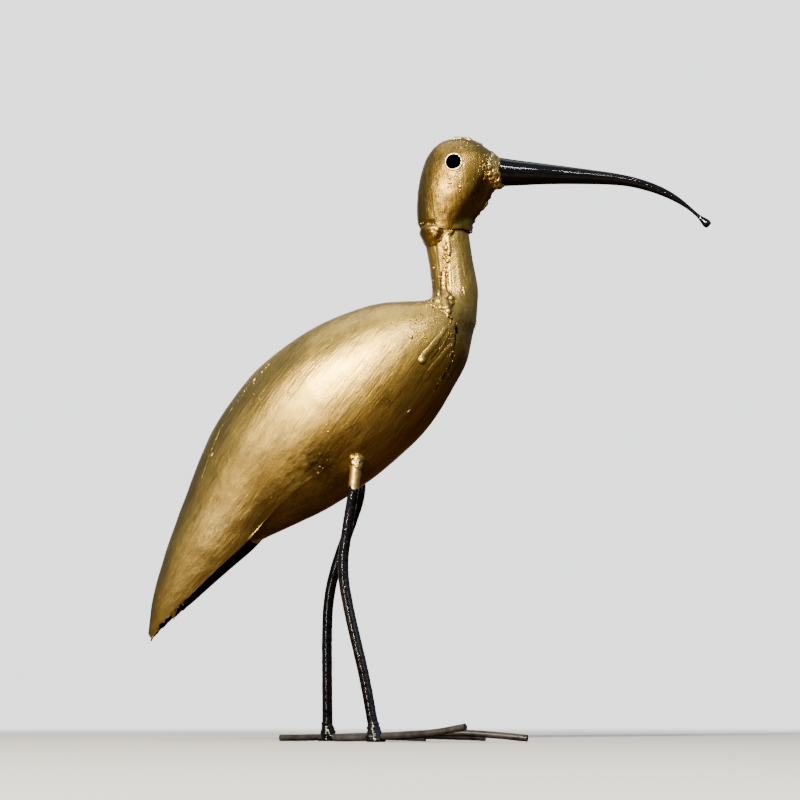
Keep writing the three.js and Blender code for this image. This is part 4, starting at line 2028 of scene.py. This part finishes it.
@dataclass
class HeadWelds(Laid):
    """The crown bead, the lumps on the cheeks and down the throat, and the runs under the eyes."""

    crown_steps: int = 46
    crown_start: float = 2.0
    crown_length: float = 60.0
    crown_rows: tuple[float, ...] = (-4.2, 0.0, 4.2)
    crown_above: float = 600.0
    crown_heights: Span = (0.2, 2.1)
    crown_sizes: Span = (1.9, 3.1)
    crown_thick_part: Span = (0.35, 0.75)
    crown_thick: float = 1.35
    crown_thin: float = 0.8
    cheek: Patch = Patch((54, 14, 540), (68, 22, 570), 40, 0.4)
    under_eye: Patch = Patch((19, 22, 527), (34, 30, 549), 22, 0.35)
    throat: tuple[tuple[PixelPoint, float], ...] = (
        ((495, 191), 2.2), ((491, 198), 1.8), ((487, 205), 3), ((484, 209), 2.6), ((479, 214), 1.9),
        ((475, 222), 2.2), ((473, 228), 1.8), ((472, 233), 1.6),
    )
    lip: Bead = Bead(
        ((426.5, 224.5), (432.5, 224.6), (438, 226.8), (443, 230.2), (448.5, 233.6)), 0.8, 1.3, 1.3, 0.2
    )
    drip: Bead = Bead(((458.5, 171.5), (460.2, 177), (460.8, 185), (459.6, 193)), 0.8, 0.9, 0.6, 0.15)
    tears: tuple[Row, ...] = (
        (447, 173.5, 1.5, 0.9), (449, 178, 1.3, 0.8), (448.5, 183, 1.5, 0.8), (451.5, 186, 1.2, 0.7),
        (455, 175.5, 1.6, 0.9), (444.5, 170, 1.3, 0.8),
    )
    voxel: float = 0.55 * MM
    relief: Relief = lumps(0.25 * MM, 2.4 * MM, 6.0, 2)

    def build(self) -> None:
        """Make the head's welds."""
        blobs = self.crown_bead()
        for side in Side:
            blobs += self.hand.scattered(self.cheek, side)
            blobs += self.hand.scattered(self.under_eye, side)
        blobs += self.hand.bead_pair(self.lip)
        blobs += self.hand.bead_pair(self.drip)
        blobs += self.hand.lump_pairs(self.tears)
        blobs += self.throat_lumps()
        self.melt("head_welds", blobs, self.paints.weld_gold_and_glint)

    def crown_bead(self) -> list[Blob]:
        """Lay the rough bead along the middle of the head's top.

        Returns:
            Its drops.
        """
        blobs = []
        start, end = self.crown_thick_part
        for index in range(self.crown_steps):
            share = index / (self.crown_steps - 1)
            x = self.crown_start + self.crown_length * share
            for y in self.crown_rows:
                above = Vector((x + self.chance.uniform(-1, 1), y, self.crown_above)) * MM
                point, normal = self.surface.nearest(above)
                grown = self.crown_thick if start < share < end else self.crown_thin
                thick = self.chance.uniform(*self.crown_heights) * grown
                size = self.chance.uniform(*self.crown_sizes)
                centre = point + normal * ((thick - size) * MM)
                blobs.append(Blob(centre, normal, AHEAD, size * 1.2 * MM, size * MM, size * MM))
        return blobs

    def throat_lumps(self) -> list[Blob]:
        """Lay the lumps that stand out along the throat's middle.

        Returns:
            The lumps.
        """
        blobs = []
        for pixel, size in self.throat:
            point, normal = self.surface.nearest(VIEW.at_depth(pixel, 0.0))
            centre = point - normal * (0.4 * size * MM)
            blobs.append(Blob(centre, normal, UP, 1.4 * size * MM, 1.2 * size * MM, size * MM))
        return blobs


@dataclass(frozen=True)
class Ring:
    """An upright ring round the beak's root, in millimetres, leaning back at its top."""

    x: float
    z: float
    half_width: float
    up: float
    down: float
    lean: float

    def point(self, turn: float, stray: float = 0.0) -> Vector:
        """Find a point of the ring.

        Args:
            turn: The angle from its top.
            stray: How far the point strays ahead.

        Returns:
            The point.
        """
        over = math.cos(turn)
        tall = self.up if over > 0 else self.down
        ahead = self.x - self.lean * over + stray
        return Vector((ahead, self.half_width * math.sin(turn), self.z + tall * over)) * MM


@dataclass
class BeakRoot(Laid):
    """The rough fillet of weld metal between the head and the beak."""

    drops: int = 320
    beak_ring: Ring = Ring(71, 550.6, 11.4, 14.2, 13.6, 2.5)
    head_ring: Ring = Ring(62.5, 551, 17.5, 19.5, 15, 2.0)
    stray: float = 1.5
    spread: float = 0.8
    size_at_head: float = 3.0
    size_loss: float = 1.0
    sizes: Span = (0.55, 1.15)
    sinks: Span = (-0.7, -0.1)
    lengths: Span = (0.9, 1.7)
    voxel: float = 0.5 * MM
    smoothing: int = 5
    relief: Relief = summed(lumps(0.55 * MM, 3.2 * MM, 6.0, 2), lumps(0.2 * MM, 1.5 * MM, 2.0, 2))

    def build(self) -> None:
        """Make the fillet."""
        blobs = []
        for _ in range(self.drops):
            turn = self.chance.uniform(0.0, 2.0 * math.pi)
            beak = self.beak_ring.point(turn, self.chance.uniform(-self.stray, self.stray))
            head, normal = self.surface.nearest(self.head_ring.point(turn))
            share = self.chance.random() ** self.spread
            size = (self.size_at_head - self.size_loss * share) * self.chance.uniform(*self.sizes) * MM
            centre = head.lerp(beak, share) + normal * (self.chance.uniform(*self.sinks) * size)
            long = self.chance.uniform(*self.lengths)
            blobs.append(Blob.sized(centre, normal, beak - head, size, long, thick=0.8))
        self.melt("beak_root_weld", blobs, self.paints.weld_gold_and_glint)


@dataclass
class NapeWeld(Laid):
    """The thick weld that carries the head's back on down to the neck, in millimetres."""

    drops: int = 320
    half_turn: float = 95.0
    side_from: float = 0.5
    side_reach: float = 0.9
    middle: float = 22.0
    top: float = 494.0
    fall: float = 19.0
    fall_less_at_side: float = 7.0
    back_reach: tuple[float, float, float] = (30.5, 3.0, 7.5)
    cheek_reach: Span = (20.3, 1.4)
    strays: Span = (-0.6, 0.3)
    thickness: float = 4.9
    thinner_below: float = 1.2
    thinner_at_side: float = 0.35
    sizes: Span = (0.9, 1.1)
    smoothing: int = 14
    relief: Relief = summed(lumps(0.5 * MM, 8 * MM, 6.0, 2), lumps(0.1 * MM, 2.6 * MM, 2.0, 2))

    def build(self) -> None:
        """Make the weld."""
        # The nape weld takes the head's darker gold, which is painted shade.
        self.melt("nape_weld", [self.drop() for _ in range(self.drops)], self.paints.head_gold_painted_shade)

    def drop(self) -> Blob:
        """Lay one drop at a random place.

        Returns:
            The drop.
        """
        turn = math.radians(self.chance.uniform(-self.half_turn, self.half_turn))
        side = eased((abs(turn) - self.side_from) / self.side_reach)
        down = self.chance.random()
        height = self.top - (self.fall - self.fall_less_at_side * side) * down
        start, slope, bend = self.back_reach
        reach = start - slope * down - bend * down * down
        start, slope = self.cheek_reach
        reach += (start - slope * down - reach) * side + self.chance.uniform(*self.strays)
        thick = (self.thickness - self.thinner_below * down) * (1.0 - self.thinner_at_side * side)
        thick *= self.chance.uniform(*self.sizes)
        out = Vector((-math.cos(turn), math.sin(turn), 0.0))
        centre = Vector((self.middle, 0.0, height)) + out * (reach - 0.8 * thick)
        ahead = Vector((out.y, -out.x, 0.3))
        return Blob(centre * MM, out, ahead, thick * 1.6 * MM, thick * 1.1 * MM, thick * MM)


@dataclass
class PaintRuns(Laid):
    """The long runs of thick paint on the shoulder and flank, and the drops at their ends.

    A run is a line with its half width, its height and its last half width, and a drop is a pixel with its
    half width and height.
    """

    runs: tuple[tuple[tuple[PixelPoint, ...], float, float, float], ...] = (
        (((446, 328), (440, 337), (433, 346), (426.5, 354), (422.6, 360.5)), 3, 0.42, 4.8),
        (((449.5, 333), (445, 341.5), (440.5, 349)), 1.6, 0.35, 2),
        (((451.5, 346), (443, 355.5), (434, 367), (426, 378)), 3.6, 0.4, 4.6),
        (((403, 333), (408, 334.5), (411.5, 336.5)), 0.9, 0.5, 2),
        (((201, 477), (209, 453), (219.5, 428.5), (233.5, 403.5), (250, 381.5), (268, 361)), 2.7, 0.3, 3),
        (((370, 357), (373, 352), (381, 348.5), (390, 342)), 0.6, 0.3, 0.6),
        (((380, 353), (392, 343), (404, 335)), 0.5, 0.2, 0.4),
        (((380, 386), (393, 374), (406, 362)), 0.5, 0.2, 0.4),
        (((300, 458), (318, 436), (334, 421)), 0.5, 0.2, 0.4),
        (((216, 548), (226, 528), (240, 505)), 0.5, 0.2, 0.4),
    )
    drops: tuple[tuple[PixelPoint, float, float], ...] = (
        ((422.4, 360.8), 4.3, 2.4), ((411.5, 336.8), 2.3, 1.2), ((328, 432), 1.6, 0.9),
        ((288, 392), 1.8, 0.7), ((320, 467), 1.4, 0.8), ((318, 473), 1.2, 0.7),
    )
    step_px: float = 0.7
    wobble: float = 0.06
    narrow: float = 1.0
    narrow_flat: float = 0.9
    broad_flat: float = 0.27
    voxel: float = 0.45 * MM

    def build(self) -> None:
        """Make the runs and drops."""
        blobs = []
        for pixels, width, height, last_width in self.runs:
            flat = self.narrow_flat if width < self.narrow else self.broad_flat
            run = Bead(pixels, self.step_px, width, height, self.wobble, last_width=last_width, flat=flat)
            blobs += self.hand.bead(run)
        for pixel, width, height in self.drops:
            point, normal = self.surface.under(pixel)
            deep = 0.8 * width * MM
            centre = point + normal * (height * MM - deep)
            blobs.append(Blob(centre, normal, UP, width * MM, width * MM, deep))
        self.melt("paint_runs", blobs, self.paints.body_gold)


@dataclass
class Spatter(Laid):
    """The small drops of weld spatter, thickest near the seams: a middle, a width, a height and a count."""

    fields: tuple[tuple[PixelPoint, float, float, int], ...] = (
        ((419, 331), 10, 16, 110), ((448, 262), 6, 22, 60), ((432, 308), 14, 7, 50),
        ((335, 458), 20, 14, 4), ((318, 468), 26, 8, 4), ((455, 178), 9, 9, 44),
        ((486, 165), 9, 14, 60), ((450, 345), 6, 20, 22), ((400, 320), 30, 14, 60),
        ((435, 230), 12, 4, 30), ((280, 500), 26, 12, 12), ((215, 520), 50, 70, 14),
        ((330, 380), 60, 50, 24), ((250, 385), 16, 20, 24), ((460, 145), 20, 5, 40),
    )
    spread: float = 0.55
    smallest: float = 0.3
    growth: float = 0.9
    large: float = 0.7 * MM

    def build(self) -> None:
        """Make the drops, the large ones with finer faces."""
        bm = bmesh.new()
        for (x, y), wide, tall, count in self.fields:
            for _ in range(count):
                pixel = (self.chance.gauss(x, wide * self.spread), self.chance.gauss(y, tall * self.spread))
                size = (self.smallest + self.growth * self.chance.random() ** 3) * MM
                hit = self.surface.under(pixel)
                if not hit:
                    continue
                fine = 2 if size > self.large else 1
                for point, normal in (hit, self.surface.opposite(hit[0])):
                    drop = Blob(point, normal, normal.orthogonal(), size, size * 0.9, size * 0.65)
                    bmesh.ops.create_icosphere(bm, subdivisions=fine, radius=1.0, matrix=drop.matrix())
        finish_piece("weld_spatter", bm, [self.paints.body_gold])


# Studio


@dataclass(frozen=True)
class Lamp:
    """An area lamp that points at the figure and isn't seen by the camera."""

    name: str
    place: Vector
    width: float
    height: float
    power: float
    tint: Colour
    aim: Vector = Vector((-0.05, 0.0, 0.34))

    def build(self) -> None:
        """Make the lamp."""
        data = bpy.data.lights.new(self.name, "AREA")
        data.shape = "RECTANGLE"
        data.size = self.width
        data.size_y = self.height
        data.energy = self.power
        data.color = self.tint
        lamp = bpy.data.objects.new(self.name, data)
        turn = (self.aim - self.place).to_track_quat("-Z", "Y").to_matrix().to_4x4()
        lamp.matrix_world = Matrix.Translation(self.place) @ turn
        lamp.visible_camera = False
        bpy.context.scene.collection.objects.link(lamp)


@dataclass(frozen=True)
class Studio:
    """A pale floor and soft light.

    The key comes low from the upper left, a strip draws the beak's ridge, a low strip the legs, and a back
    lamp, a fill and a sky lamp lift the rest out of a dim room.
    """

    floor_side: float = 60.0
    pale: Colour = (0.8, 0.8, 0.79)
    backdrop: Colour = (2.1, 2.12, 2.15)
    dark: Colour = (0.034, 0.015, 0.008)
    far: Colour = (0.22, 0.155, 0.11)
    far_from: Span = (0.6, 1.1)
    dark_ahead: Span = (-0.2, 0.5)
    fade: Span = (0.7, 3.0)
    glow_low: Colour = (0.1, 0.11, 0.13)
    glow_high: Colour = (0.25, 0.3, 0.4)
    glow_reach: float = 0.8
    lamps: tuple[Lamp, ...] = (
        Lamp("key", Vector((-1.45, -4.45, 2.2)), 0.6, 0.6, 545, (1.0, 0.87, 0.63)),
        Lamp("strip", Vector((0.38, -3.23, 2.89)), 0.7, 0.1, 62, (1.0, 0.97, 0.92)),
        Lamp("low_strip", Vector((-1.15, -3.0, 0.23)), 0.12, 0.44, 9.0, (1.0, 0.93, 0.82)),
        Lamp("back", Vector((-0.8, 3.0, 0.9)), 2.2, 2.2, 13, (1.0, 0.86, 0.68)),
        Lamp("fill", Vector((2.2, -2.2, 1.5)), 1.6, 1.6, 5.0, (1.0, 0.95, 0.88)),
        Lamp("sky", Vector((-0.5, 0.2, 2.4)), 1.6, 1.6, 15, (0.98, 0.92, 0.82)),
    )

    def build(self) -> None:
        """Make the floor, the room and the lamps."""
        self.floor()
        self.room()
        for lamp in self.lamps:
            lamp.build()

    def floor(self) -> None:
        """Make the floor: pale to the eye and fading into the backdrop, dark to what it lights."""
        material, graph = new_material("studio_floor")
        seen = graph.add("ShaderNodeLightPath").outputs["Is Camera Ray"]
        place = graph.place()
        away = graph.add("ShaderNodeVectorMath", {0: place}, operation="LENGTH").outputs["Value"]
        x = graph.add("ShaderNodeSeparateXYZ", {0: place}).outputs["X"]
        behind = graph.remap(x, *self.dark_ahead, 1.0, 0.0, smooth=True)
        open_floor = graph.math("MULTIPLY", graph.remap(away, *self.far_from, smooth=True), behind)
        tone = graph.mix(seen, graph.mix(open_floor, self.dark, self.far), self.pale)
        fade = graph.math("MULTIPLY", graph.remap(away, *self.fade, smooth=True), seen)
        cloth = graph.add("ShaderNodeBsdfDiffuse", {"Color": tone}).outputs[0]
        glow = graph.add("ShaderNodeEmission", {"Color": self.backdrop}).outputs[0]
        shader = graph.add("ShaderNodeMixShader", {0: fade, 1: cloth, 2: glow})
        graph.add("ShaderNodeOutputMaterial", {"Surface": shader.outputs[0]})
        bm = bmesh.new()
        bmesh.ops.create_grid(bm, x_segments=1, y_segments=1, size=self.floor_side / 2)
        floor = bpy.data.objects.new("floor", mesh_from(bm, "floor"))
        floor.data.materials.append(material)
        bpy.context.scene.collection.objects.link(floor)

    def room(self) -> None:
        """Make the room's light: pale to the eye, brighter above than below in reflections."""
        world = bpy.data.worlds.new("room")
        bpy.context.scene.world = world
        world.use_nodes = True
        graph = Graph(world.node_tree)
        seen = graph.add("ShaderNodeLightPath").outputs["Is Camera Ray"]
        way = graph.add("ShaderNodeTexCoord").outputs["Generated"]
        up = graph.add("ShaderNodeSeparateXYZ", {0: way}).outputs["Z"]
        glow = graph.mix(graph.remap(up, 0.0, self.glow_reach), self.glow_low, self.glow_high)
        light = {"Color": graph.mix(seen, glow, self.backdrop), "Strength": 1.0}
        shader = graph.add("ShaderNodeBackground", light)
        graph.add("ShaderNodeOutputWorld", {"Surface": shader.outputs[0]})


def main() -> None:
    """Build the studio and the figure."""
    logging.basicConfig(level=logging.INFO, format="%(name)s: %(message)s")
    VIEW.place_camera()
    Studio().build()
    paints = Paints()
    surface = Surface()
    Shells(paints, surface).build()
    Beak(paints).build()
    for side in Side:
        Leg(side, paints, surface).build()
        Toes(side, paints).build()
    hand = Welder(surface)
    laid = (EyeRims, JointFill, SeamWelds, NeckFoot, NeckWelds, PaintedShadeSlots, HeadWelds, BeakRoot, NapeWeld,
            PaintRuns, Spatter)
    for piece in laid:
        piece(paints, hand).build()


if __name__ == "__main__":
    main()
